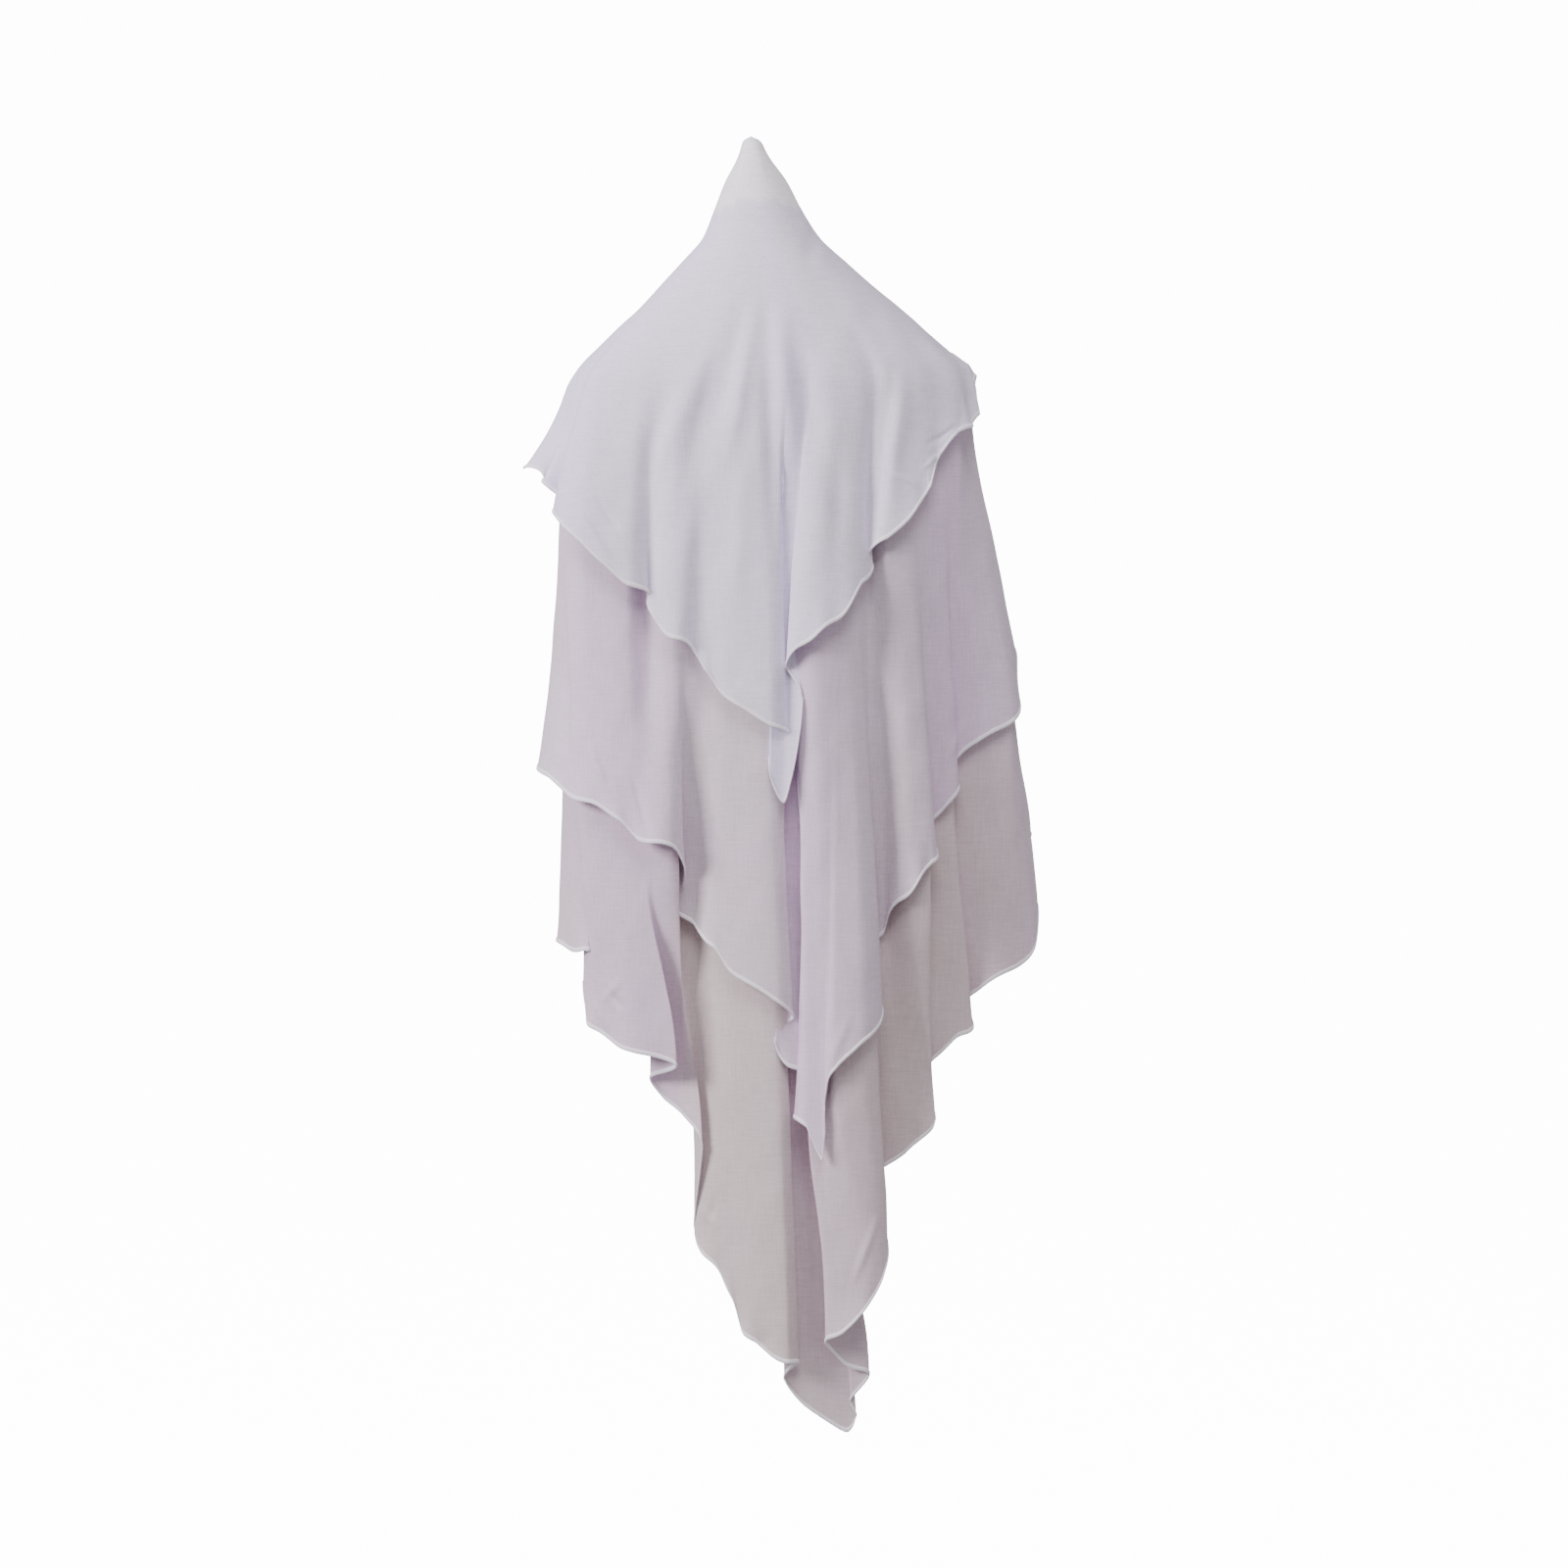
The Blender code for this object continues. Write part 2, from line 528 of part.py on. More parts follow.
def add_binding():
    """A flat band round the inside of the three cut edges, as thick as the layers with their gaps. At each
    rim point its section is a rectangle that starts SEAT_GAP inside the edge."""
    turns, downs = grid_lines(1)[:2]
    grid, normals = layer_points(turns, downs, 0)
    rows, columns = face_rim(turns, downs)
    rim = grid[rows, columns]
    normal = normals[rows, columns]
    along = np.roll(rim, -1, axis=0) - np.roll(rim, 1, axis=0)
    inward = unit(np.cross(normal, along))
    inward = inward * np.sign(np.sum(inward * (rim.mean(axis=0) - rim), axis=1, keepdims=True))
    low, high = -CLOTH / 2, 2 * (CLOTH + LAYER_GAP) + CLOTH / 2
    near, far = SEAT_GAP, SEAT_GAP + BINDING_WIDTH
    corners = [(near, low), (far, low), (far, high), (near, high)]
    rings = np.stack([rim + inward * side + normal * lift for side, lift in corners], axis=1)
    count = len(rim)
    place = np.arange(count * 4).reshape(count, 4)
    ahead = np.roll(place, -1, axis=0)
    quads = [
        np.stack([place[:, k], ahead[:, k], ahead[:, (k + 1) % 4], place[:, (k + 1) % 4]], axis=1)
        for k in range(4)
    ]
    made = add_object("face_binding", rings.reshape(-1, 3), np.concatenate(quads), BINDING_COLOUR)
    made.data.set_sharp_from_angle(angle=math.radians(BINDING_CORNER))
    return made


for old in list(bpy.data.objects):
    bpy.data.objects.remove(old, do_unlink=True)
add_tier("upper_tier", 1, UPPER_COLOUR)
add_tier("middle_tier", 2, MIDDLE_COLOUR)
add_tier("lower_tier", 3, LOWER_COLOUR)
add_binding()
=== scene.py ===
"""How the three-tier khimar hijab looks: folded chiffon tiers with rolled hems, hung from the peak.

The shapes follow the part's own formulas on a finer grid. Metres, +Z up, the back of the garment at -Y.
"""

import math

import bpy
import numpy as np
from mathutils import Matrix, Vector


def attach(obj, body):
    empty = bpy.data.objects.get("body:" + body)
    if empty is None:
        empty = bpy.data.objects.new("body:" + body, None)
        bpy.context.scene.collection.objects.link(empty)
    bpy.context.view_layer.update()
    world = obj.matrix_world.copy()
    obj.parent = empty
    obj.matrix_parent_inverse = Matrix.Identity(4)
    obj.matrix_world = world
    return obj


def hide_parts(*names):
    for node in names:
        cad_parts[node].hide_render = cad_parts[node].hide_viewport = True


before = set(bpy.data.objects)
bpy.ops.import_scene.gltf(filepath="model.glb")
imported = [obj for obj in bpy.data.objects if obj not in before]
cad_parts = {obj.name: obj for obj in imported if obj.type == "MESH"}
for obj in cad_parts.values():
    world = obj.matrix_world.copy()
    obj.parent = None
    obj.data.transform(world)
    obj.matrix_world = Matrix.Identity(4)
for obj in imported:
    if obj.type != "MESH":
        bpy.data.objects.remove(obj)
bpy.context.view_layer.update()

# Sizes of the part
UPPER_LENGTH = 0.734
MIDDLE_LENGTH = 1.122
LOWER_LENGTH = 1.420
HALF_WIDTH = 0.269  # the unit of every share across
HALF_DEPTH = 0.100  # the unit of every share to the back
SHOULDER_DROP = 0.260
YOKE_DROP = 0.185
SEAM_DROP = 0.077
FLARE = 0.033
CLOTH = 0.0012
LAYER_GAP = 0.00095
FACE_TOP = 0.140
FACE_HEIGHT = 0.225
FACE_WIDTH = 0.185
BINDING_WIDTH = 0.006
EVEN_FALL = 0.70  # of UPPER_LENGTH: how fast the grid falls at the peak
FACE_MIDDLE = 180.0  # the turn at the middle of the face opening
MOST_FACE_TURN = 1.5  # the most that the opening is widened in turn where the form is narrow
MOST_MITRE = 2.2  # the most that a normal is lengthened at a sharp fold
TINY = 1e-6

# Sizes of what only shows here
HEM_HEIGHT = 0.0052  # the rolled hem's band, seen flat on
HEM_THICKNESS = 0.0020
HEM_POINTS = 10  # points round the hem's section
PEAK_ROUND = 0.060  # the outer layer reaches its full distance from the inner ones this far below the peak
THREAD = 0.0009  # width of one thread of the weave
RIPPLE = 0.00045  # height of the fine unevenness of hung chiffon
WAVE_LENGTH = 0.060  # the small waves along a hem
WAVE_LIFT = 0.0045  # how far they swing out
WAVE_DROP = 0.0024  # how far they rise and fall
WAVE_WANDER = (1.4, 9.0)  # radians by which the waves run early or late, and how many times in a round
WAVE_SWELL = (0.6, 0.4, 5.0)  # their height's mean and its change, and how many times in a round
WAVE_REACH = 0.050  # how far above the hem they fade out
WAVE_SPAN = 4  # grid lines to each side over which the hem's own slope is taken
WAVE_STEEPEST = 0.80  # of the way along it: a hem that falls faster has waves that fade out
FLARE_GROWTH = 1.6  # 1 for a hem that flares along a straight line, more for a hollow one
SEAM_ARCH = (0.92, 0.28)  # of SEAM_DROP: the seam's drop at the middle of the back, and how much it falls
COVERED_PULL = 0.0022  # how far a tier hangs back for each tier that covers it
COVERED_EASE = 0.12  # of a tier: above the covering hem, where it comes forward again
COVERED_TURNS = (100.0, 125.0)  # degrees from the middle of the back, where this ends
SEAM_EDGE = 0.012  # of the seam's drop: the width of the edge between one layer alone and three
PEAK_CAP = 0.0015  # how far the closing point lies over the first ring
BUMP_DEPTH = 0.0004

# The studio
WHITE = 14.0  # brightness of the backdrop and floor that the picture shows as white
EVEN_LIGHT = 0.36  # brightness of the white all round
MIDDLE = (0.03, 0.0, -0.68)
YOKE = (0.03, 0.0, -0.30)
FLOOR_REACH = 40.0
FLOOR_HEIGHT = -1.62
# Each light's name, place, aim, size in metres, power in watts and colour
LIGHTS = (
    ("key_left", (-3.9, -2.0, 1.1), MIDDLE, 1.8, 305.0, (1.0, 0.985, 1.0)),
    ("top_back", (0.3, -2.0, 2.4), YOKE, 1.6, 85.0, (0.98, 0.98, 1.0)),
    ("fill_right", (3.4, -2.2, -1.8), MIDDLE, 2.4, 42.0, (0.98, 0.975, 1.0)),
)

# The hanging form under the folds. Drop is a share of SHOULDER_DROP, width and sway of HALF_WIDTH, and depth
# of HALF_DEPTH.
FORM_COLUMNS = ("drop", "width", "depth", "sway")
FORM = (
    (0.00, 0.000, 0.00, 0.000),
    (0.02, 0.036, 0.09, 0.004),
    (0.07, 0.050, 0.16, 0.010),
    (0.20, 0.114, 0.28, 0.022),
    (0.32, 0.166, 0.38, 0.030),
    (0.44, 0.228, 0.48, 0.044),
    (0.50, 0.281, 0.54, 0.050),
    (0.62, 0.400, 0.66, 0.062),
    (0.75, 0.534, 0.77, 0.078),
    (0.88, 0.668, 0.87, 0.088),
    (1.00, 0.770, 0.94, 0.097),
    (1.08, 0.794, 0.97, 0.097),
    (1.35, 0.808, 1.00, 0.090),
    (2.70, 0.862, 1.00, 0.108),
    (6.00, 0.904, 1.00, 0.120),
)

# Each hem, once round the body, as in the part, with its deepest folds fuller. Turn is the angle round from
# the middle of the back, in degrees, right side positive. Across is a share of HALF_WIDTH, back of
# HALF_DEPTH, drop of the tier's own length, and flare of FLARE.
HEM_COLUMNS = ("turn", "across", "back", "drop", "flare")
UPPER_HEM = (
    (-120.0, -0.622, -0.52, 0.540, 0.6),
    (-92.0, -0.767, -0.02, 0.500, 0.84),
    (-80.0, -0.732, 0.18, 0.523, 0.80),
    (-69.0, -0.715, 0.38, 0.554, 0.3),
    (-64.0, -0.750, 0.62, 0.570, 0.3),
    (-57.0, -0.664, 0.82, 0.616, 0.4),
    (-43.5, -0.504, 0.88, 0.675, 0.4),
    (-36.0, -0.416, 0.78, 0.697, 0.3),
    (-27.5, -0.304, 0.92, 0.756, 0.4),
    (-20.5, -0.204, 0.88, 0.788, 0.3),
    (-12.5, -0.084, 0.96, 0.843, 0.3),
    (-3.0, 0.070, 1.03, 0.884, 0.3),
    (1.5, 0.124, 0.98, 0.898, 0.1),
    (4.5, 0.100, 0.84, 0.941, 0.0),
    (7.5, 0.136, 0.80, 1.000, 0.0),
    (10.5, 0.176, 0.86, 0.851, 0.0),
    (13.5, 0.180, 1.00, 0.798, 0.1),
    (17.5, 0.256, 1.10, 0.755, 0.3),
    (22.0, 0.356, 1.02, 0.719, 0.4),
    (27.0, 0.416, 0.92, 0.675, 0.4),
    (31.5, 0.480, 0.76, 0.643, 0.3),
    (36.5, 0.556, 0.86, 0.609, 0.4),
    (46.0, 0.676, 0.74, 0.546, 0.4),
    (54.0, 0.736, 0.62, 0.485, 0.3),
    (66.0, 0.846, 0.44, 0.441, 0.2),
    (76.0, 0.864, 0.20, 0.418, 0.1),
    (92.0, 0.876, -0.04, 0.365, 0.05),
    (120.0, 0.830, -0.52, 0.470, 0.15),
    (150.0, 0.540, -0.92, 0.620, 0.5),
    (180.0, 0.108, -1.00, 0.680, 0.5),
    (210.0, -0.336, -0.92, 0.640, 0.5),
)
MIDDLE_HEM = (
    (-120.0, -0.660, -0.52, 0.610, 0.5),
    (-92.0, -0.770, -0.04, 0.622, 0.8),
    (-78.0, -0.725, 0.40, 0.631, 0.7),
    (-66.0, -0.690, 0.66, 0.648, 0.4),
    (-52.0, -0.564, 0.82, 0.662, 0.4),
    (-40.0, -0.444, 0.90, 0.688, 0.4),
    (-31.0, -0.328, 0.98, 0.698, 0.3),
    (-27.0, -0.288, 0.92, 0.717, 0.1),
    (-24.0, -0.314, 0.64, 0.750, 0.1),
    (-19.0, -0.216, 0.68, 0.775, 0.2),
    (-13.5, -0.124, 0.82, 0.796, 0.3),
    (-9.5, -0.070, 0.88, 0.817, 0.3),
    (-3.5, 0.096, 0.98, 0.845, 0.3),
    (0.0, 0.150, 0.92, 0.863, 0.1),
    (3.0, 0.128, 0.83, 0.886, 0.0),
    (6.0, 0.156, 0.79, 0.909, 0.0),
    (9.0, 0.236, 0.78, 0.922, 0.0),
    (10.5, 0.276, 0.83, 0.932, 0.0),
    (13.5, 0.264, 0.94, 0.924, 0.0),
    (15.0, 0.232, 0.98, 0.960, 0.2),
    (16.5, 0.300, 1.02, 1.000, 0.2),
    (18.0, 0.318, 1.04, 0.966, 0.2),
    (19.5, 0.326, 1.06, 0.933, 0.2),
    (21.0, 0.346, 1.08, 0.912, 0.3),
    (24.0, 0.440, 1.06, 0.888, 0.3),
    (27.0, 0.514, 0.90, 0.857, 0.1),
    (30.0, 0.470, 0.60, 0.801, 0.0),
    (33.0, 0.540, 0.60, 0.781, 0.1),
    (39.0, 0.652, 0.74, 0.740, 0.3),
    (42.0, 0.730, 0.72, 0.708, 0.1),
    (46.0, 0.710, 0.48, 0.683, 0.0),
    (52.0, 0.796, 0.48, 0.657, 0.1),
    (56.5, 0.826, 0.42, 0.641, 0.1),
    (60.0, 0.806, 0.28, 0.628, 0.1),
    (66.0, 0.880, 0.28, 0.602, 0.2),
    (77.0, 1.060, 0.20, 0.574, 0.1),
    (85.0, 1.078, 0.02, 0.559, 0.1),
    (98.0, 1.040, -0.30, 0.505, 0.2),
    (125.0, 0.900, -0.64, 0.520, 0.4),
    (150.0, 0.560, -0.92, 0.610, 0.5),
    (180.0, 0.110, -1.00, 0.650, 0.5),
    (210.0, -0.350, -0.92, 0.630, 0.5),
)
LOWER_HEM = (
    (-120.0, -0.678, -0.52, 0.618),
    (-92.0, -0.790, -0.06, 0.625),
    (-80.0, -0.742, 0.28, 0.630),
    (-69.0, -0.656, 0.56, 0.632),
    (-64.5, -0.680, 0.40, 0.656),
    (-60.0, -0.660, 0.50, 0.686),
    (-54.0, -0.552, 0.72, 0.701),
    (-48.0, -0.464, 0.84, 0.709),
    (-40.0, -0.300, 0.92, 0.719),
    (-35.0, -0.408, 0.58, 0.730),
    (-31.0, -0.360, 0.54, 0.743),
    (-27.0, -0.272, 0.62, 0.758),
    (-23.5, -0.196, 0.76, 0.781),
    (-20.0, -0.228, 0.56, 0.845),
    (-16.0, -0.124, 0.74, 0.879),
    (-13.0, -0.072, 0.80, 0.898),
    (-10.0, -0.036, 0.84, 0.920),
    (-7.0, 0.032, 0.92, 0.933),
    (-3.0, 0.148, 1.00, 0.946),
    (0.0, 0.192, 0.86, 0.948),
    (3.0, 0.136, 0.83, 0.959),
    (4.5, 0.208, 0.78, 0.978),
    (6.0, 0.390, 0.75, 1.000),
    (7.5, 0.428, 0.75, 0.988),
    (9.0, 0.404, 0.77, 0.977),
    (10.5, 0.484, 0.80, 0.957),
    (12.0, 0.390, 0.87, 0.948),
    (13.5, 0.302, 0.96, 0.931),
    (16.5, 0.376, 1.06, 0.921),
    (19.5, 0.464, 1.08, 0.906),
    (22.5, 0.536, 1.02, 0.879),
    (26.0, 0.556, 0.88, 0.856),
    (30.0, 0.484, 0.54, 0.812),
    (34.0, 0.636, 0.62, 0.785),
    (39.0, 0.750, 0.62, 0.762),
    (44.0, 0.714, 0.44, 0.727),
    (50.0, 0.828, 0.42, 0.701),
    (56.0, 0.900, 0.34, 0.690),
    (61.0, 0.872, 0.20, 0.674),
    (68.0, 0.976, 0.26, 0.655),
    (76.0, 1.084, 0.16, 0.646),
    (83.0, 1.160, 0.04, 0.628),
    (90.0, 1.176, -0.10, 0.600),
    (97.0, 1.116, -0.26, 0.572),
    (104.0, 1.152, -0.36, 0.543),
    (128.0, 0.950, -0.68, 0.560),
    (150.0, 0.580, -0.92, 0.600),
    (180.0, 0.115, -1.00, 0.630),
    (210.0, -0.360, -0.92, 0.640),
)

# How far a tier's own hem swings out of the fold that all tiers share, so that its point hangs in front of
# the tier below. Aside is a share of HALF_WIDTH, and forward of HALF_DEPTH.
TIP_COLUMNS = ("turn", "forward", "aside")
UPPER_TIP = (
    (-3.0, 0.00, 0.000),
    (1.5, 0.04, 0.000),
    (4.5, 0.24, -0.040),
    (7.5, 0.29, 0.000),
    (10.5, 0.23, 0.050),
    (13.5, 0.06, 0.000),
    (17.5, 0.00, 0.000),
)
MIDDLE_TIP = (
    (-3.5, 0.00, 0.000),
    (0.0, 0.04, 0.000),
    (3.0, 0.16, -0.036),
    (6.0, 0.18, -0.010),
    (9.0, 0.13, 0.010),
    (10.5, 0.05, 0.000),
    (13.5, 0.00, 0.000),
    (15.0, 0.00, 0.000),
)

# Soft pleats that fan out below the yoke, and small creases, all on the back. Each runs from one point to
# another, given as across and drop in metres, with its half width and its height, below 0 for a hollow.
CREASE_COLUMNS = ("from_across", "from_drop", "to_across", "to_drop", "half_width", "height")
UPPER_CREASES = (
    (-0.003, 0.180, -0.060, 0.390, 0.0115, -0.0040),
    (0.004, 0.185, -0.026, 0.380, 0.0100, 0.0040),
    (-0.030, 0.225, -0.076, 0.400, 0.0100, -0.0032),
    (-0.045, 0.235, -0.104, 0.380, 0.0120, 0.0030),
    (-0.088, 0.270, -0.116, 0.400, 0.0100, -0.0026),
    (0.018, 0.180, 0.026, 0.470, 0.0100, -0.0040),
    (0.030, 0.185, 0.050, 0.390, 0.0115, 0.0040),
    (0.045, 0.205, 0.084, 0.400, 0.0130, -0.0030),
    (0.157, 0.246, 0.130, 0.480, 0.0085, -0.0036),
    (0.168, 0.250, 0.143, 0.440, 0.0110, 0.0034),
    (-0.006, 0.330, -0.020, 0.560, 0.0120, 0.0026),
    (-0.062, 0.380, -0.078, 0.560, 0.0110, 0.0024),
    (0.098, 0.330, 0.092, 0.500, 0.0110, -0.0022),
    (0.190, 0.345, 0.226, 0.322, 0.0030, -0.0018),
    (0.185, 0.372, 0.222, 0.340, 0.0028, 0.0016),
    (0.150, 0.372, 0.185, 0.392, 0.0030, 0.0016),
    (-0.190, 0.415, -0.150, 0.470, 0.0040, 0.0020),
    (-0.170, 0.400, -0.140, 0.440, 0.0035, -0.0016),
    (0.060, 0.150, 0.085, 0.045, 0.0060, -0.0040),
)
MIDDLE_CREASES = (
    (-0.180, 0.660, -0.150, 0.735, 0.0045, 0.0022),
    (-0.130, 0.700, -0.108, 0.775, 0.0040, -0.0020),
    (0.085, 1.020, 0.110, 0.960, 0.0040, 0.0020),
    (0.215, 0.690, 0.235, 0.640, 0.0040, 0.0018),
)
LOWER_CREASES = (
    (-0.165, 0.955, -0.140, 0.925, 0.0030, 0.0022),
    (-0.160, 0.935, -0.135, 0.960, 0.0028, -0.0022),
    (-0.172, 0.950, -0.155, 0.985, 0.0030, 0.0022),
    (-0.060, 1.175, -0.030, 1.200, 0.0032, 0.0022),
    (-0.050, 1.200, -0.035, 1.160, 0.0030, -0.0020),
    (-0.012, 1.300, 0.025, 1.345, 0.0032, 0.0022),
    (-0.005, 1.330, 0.030, 1.310, 0.0030, -0.0020),
    (0.110, 1.260, 0.140, 1.180, 0.0040, 0.0018),
)

# Painted light and shade in the cloth's hue round each tier: from 0, a painted shade grey for folds turned
# from the light, to 1, the cloth's own lilac on folds that face the light and where layers lie doubled
TINT_COLUMNS = ("turn", "shade_tint")
UPPER_SHADE_TINT = (
    (-96.0, 0.75), (-64.0, 0.85), (-50.0, 0.40), (-30.0, 0.25), (-6.0, 0.20), (5.0, 0.95), (12.0, 0.55),
    (20.0, 0.15), (40.0, 0.25), (60.0, 0.55), (90.0, 0.30), (180.0, 0.40), (264.0, 0.75),
)
MIDDLE_SHADE_TINT = (
    (-96.0, 0.75), (-60.0, 0.85), (-40.0, 0.95), (-28.0, 0.30), (-5.0, 0.15), (5.0, 0.65), (14.0, 0.85),
    (24.0, 0.35), (32.0, 0.15), (44.0, 0.50), (60.0, 0.95), (80.0, 0.60), (180.0, 0.40), (264.0, 0.75),
)
LOWER_SHADE_TINT = (
    (-96.0, 0.85), (-60.0, 0.80), (-42.0, 0.90), (-34.0, 1.00), (-20.0, 0.10), (-4.0, 0.10), (4.0, 0.35),
    (16.0, 0.45), (24.0, 0.30), (34.0, 0.10), (50.0, 0.15), (70.0, 0.45), (90.0, 0.80), (180.0, 0.40),
    (264.0, 0.85),
)

# How the cloth is cut into strips: cells between two turns, and cells down each stretch
STRIPS_ROUND = ((-96.0, -30.0, 150), (-30.0, 21.0, 196), (21.0, 48.0, 92), (48.0, 106.0, 112))
CELLS_BESIDE_FACE = 34
CELLS_ACROSS_FACE = 44
CELLS_TO_SEAM = 14
CELLS_TO_FACE = 8
CELLS_DOWN_FACE = 30
CELLS_BELOW_FACE = {1: 62, 2: 26, 3: 22}
CELLS_DOWN_TIER = {2: {2: 66}, 3: {2: 20, 3: 62}}

# Each tier's name, its number from outside, creases, tints, and its sheet's flat size and area
TIERS = (
    ("upper_tier", 1, UPPER_CREASES, UPPER_SHADE_TINT, (1.02, 0.735), 0.368),
    ("middle_tier", 2, MIDDLE_CREASES, MIDDLE_SHADE_TINT, (1.25, 1.125), 0.770),
    ("lower_tier", 3, LOWER_CREASES, LOWER_SHADE_TINT, (1.55, 1.425), 1.110),
)


def column(table, names, name):
    """One column of a table by its name, or zeros where the table's rows end before it."""
    rows = np.array(table)
    place = names.index(name)
    return rows[:, place] if place < rows.shape[1] else np.zeros(len(rows))


def curve_through(knots, values, at):
    """A smooth curve through values at knots that turns only at the knots: each span is a cubic, and the
    slope at a knot is the harmonic mean of the slopes beside it, or level where those disagree."""
    knots = np.asarray(knots, float)
    values = np.asarray(values, float)
    at = np.asarray(at, float)
    steps = np.diff(knots)
    steps = steps.reshape((-1,) + (1,) * (values.ndim - 1))
    slopes = np.diff(values, axis=0) / steps
    before, after = slopes[:-1], slopes[1:]
    agree = before * after > 0
    total = np.where(agree, before + after, 1.0)
    inner = np.where(agree, 2.0 * before * after / total, 0.0)
    tangents = np.concatenate([slopes[:1], inner, slopes[-1:]])
    span = np.clip(np.searchsorted(knots, at, side="right") - 1, 0, len(knots) - 2)
    width = knots[span + 1] - knots[span]
    share = (at - knots[span]) / width
    share = share.reshape((-1,) + (1,) * (values.ndim - 1))
    width = width.reshape(share.shape)
    rise = 3.0 * share**2 - 2.0 * share**3
    leave = share**3 - 2.0 * share**2 + share
    arrive = share**3 - share**2
    start = values[span] * (1.0 - rise) + tangents[span] * width * leave
    return start + values[span + 1] * rise + tangents[span + 1] * width * arrive


def hem_at(table, length, turns):
    """A hem's across, back, drop and flare in metres at each turn, on a closed curve through its rows."""
    units = {"across": HALF_WIDTH, "back": HALF_DEPTH, "drop": length, "flare": FLARE}
    turn = column(table, HEM_COLUMNS, "turn")
    sizes = np.stack([column(table, HEM_COLUMNS, name) * unit_of for name, unit_of in units.items()], axis=1)
    whole_turn = np.concatenate([turn[-3:] - 360.0, turn, turn[:3] + 360.0])
    whole_sizes = np.concatenate([sizes[-3:], sizes, sizes[:3]])
    return curve_through(whole_turn, whole_sizes, turns)


def tip_at(table, turns, share):
    """How far a tip swings aside and forward at each turn, by the share of it that is reached."""
    turn = column(table, TIP_COLUMNS, "turn")
    aside = column(table, TIP_COLUMNS, "aside") * HALF_WIDTH
    forward = -column(table, TIP_COLUMNS, "forward") * HALF_DEPTH
    inside = np.clip(turns.ravel(), turn[0], turn[-1])
    swing = curve_through(turn, np.stack([aside, forward], axis=1), inside).reshape(turns.shape + (2,))
    return np.concatenate([swing * share[..., None], np.zeros(turns.shape + (1,))], axis=-1)


def form_size(name, drops):
    """The form's width, depth or sway in metres at each drop."""
    across = HALF_DEPTH if name == "depth" else HALF_WIDTH
    knots = column(FORM, FORM_COLUMNS, "drop") * SHOULDER_DROP
    found = curve_through(knots, column(FORM, FORM_COLUMNS, name)[:, None], np.ravel(drops))
    return across * found.reshape(np.shape(drops))


def form_at(turns, drops):
    """The hanging form's point for each turn and drop: an ellipse that widens from the peak down."""
    angle = np.radians(turns)
    across = form_size("sway", drops) + form_size("width", drops) * np.sin(angle)
    return np.stack([across, form_size("depth", drops) * np.cos(angle)], axis=-1)


def eased(share):
    """0 to 1 with a level start and end: 3 s squared less 2 s cubed."""
    share = np.clip(share, 0.0, 1.0)
    return share * share * (3.0 - 2.0 * share)


def drop_in_upper(downs, hem_drop):
    """The drop at each down of the upper tier: even from strip to strip at the peak, hem_drop at the hem."""
    even = EVEN_FALL * UPPER_LENGTH
    return downs * (even * (1.0 - downs) + hem_drop * downs)


def folded_cloth(turns, downs):
    """The innermost layer's points on grids of turn and down, where down is 0 at the peak and 1, 2 and 3 at
    the three hems: the form's ellipse at that drop, plus how far each hem's row leaves the ellipse at its own
    drop, which grows from the yoke and passes from hem to hem. With them, the two outer tiers' flare."""
    hems = [
        hem_at(table, length, turns.ravel()).reshape(turns.shape + (4,))
        for table, length in (
            (UPPER_HEM, UPPER_LENGTH),
            (MIDDLE_HEM, MIDDLE_LENGTH),
            (LOWER_HEM, LOWER_LENGTH),
        )
    ]
    drop = drop_in_upper(np.clip(downs, 0.0, 1.0), hems[0][..., 2])
    drop = drop + (hems[1][..., 2] - hems[0][..., 2]) * np.clip(downs - 1.0, 0.0, 1.0)
    drop = drop + (hems[2][..., 2] - hems[1][..., 2]) * np.clip(downs - 2.0, 0.0, 1.0)
    folds = [hem[..., :2] - form_at(turns, hem[..., 2]) for hem in hems]
    grown = (drop - YOKE_DROP) / (hems[0][..., 2] - YOKE_DROP)
    moved = folds[0] * eased(grown)[..., None]
    moved = moved + (folds[1] - folds[0]) * eased(downs - 1.0)[..., None]
    moved = moved + (folds[2] - folds[1]) * eased(downs - 2.0)[..., None]
    flat = form_at(turns, drop) + moved
    points = np.stack([flat[..., 0], -flat[..., 1], -drop], axis=-1)
    return points, hems[0][..., 3], hems[1][..., 3]


def unit(vectors):
    """The vectors at length 1."""
    return vectors / np.maximum(np.linalg.norm(vectors, axis=-1, keepdims=True), TINY)


def normals_of(points):
    """Outward normals of a grid of points that closes on itself round its second index: the mean of the six
    triangles' that meet at each point, and as much longer than 1 as a mitre over the steepest one needs."""
    here, below = points[:-1], points[1:]
    corner = np.roll(below, -1, axis=1)
    left = unit(np.cross(below - here, corner - here))
    right = unit(np.cross(corner - here, np.roll(here, -1, axis=1) - here))
    under = [np.concatenate([side, side[-1:]]) for side in (left, right)]
    over = [np.concatenate([side[:1], side]) for side in (left, right)]
    beside = [np.roll(side, 1, axis=1) for side in (under[1], over[0], over[1])]
    around = np.stack(under + over[:1] + beside)
    mean = unit(around.sum(axis=0))
    steepest = (around * mean).sum(axis=-1).min(axis=0)
    return mean / np.maximum(steepest, 1.0 / MOST_MITRE)[..., None]


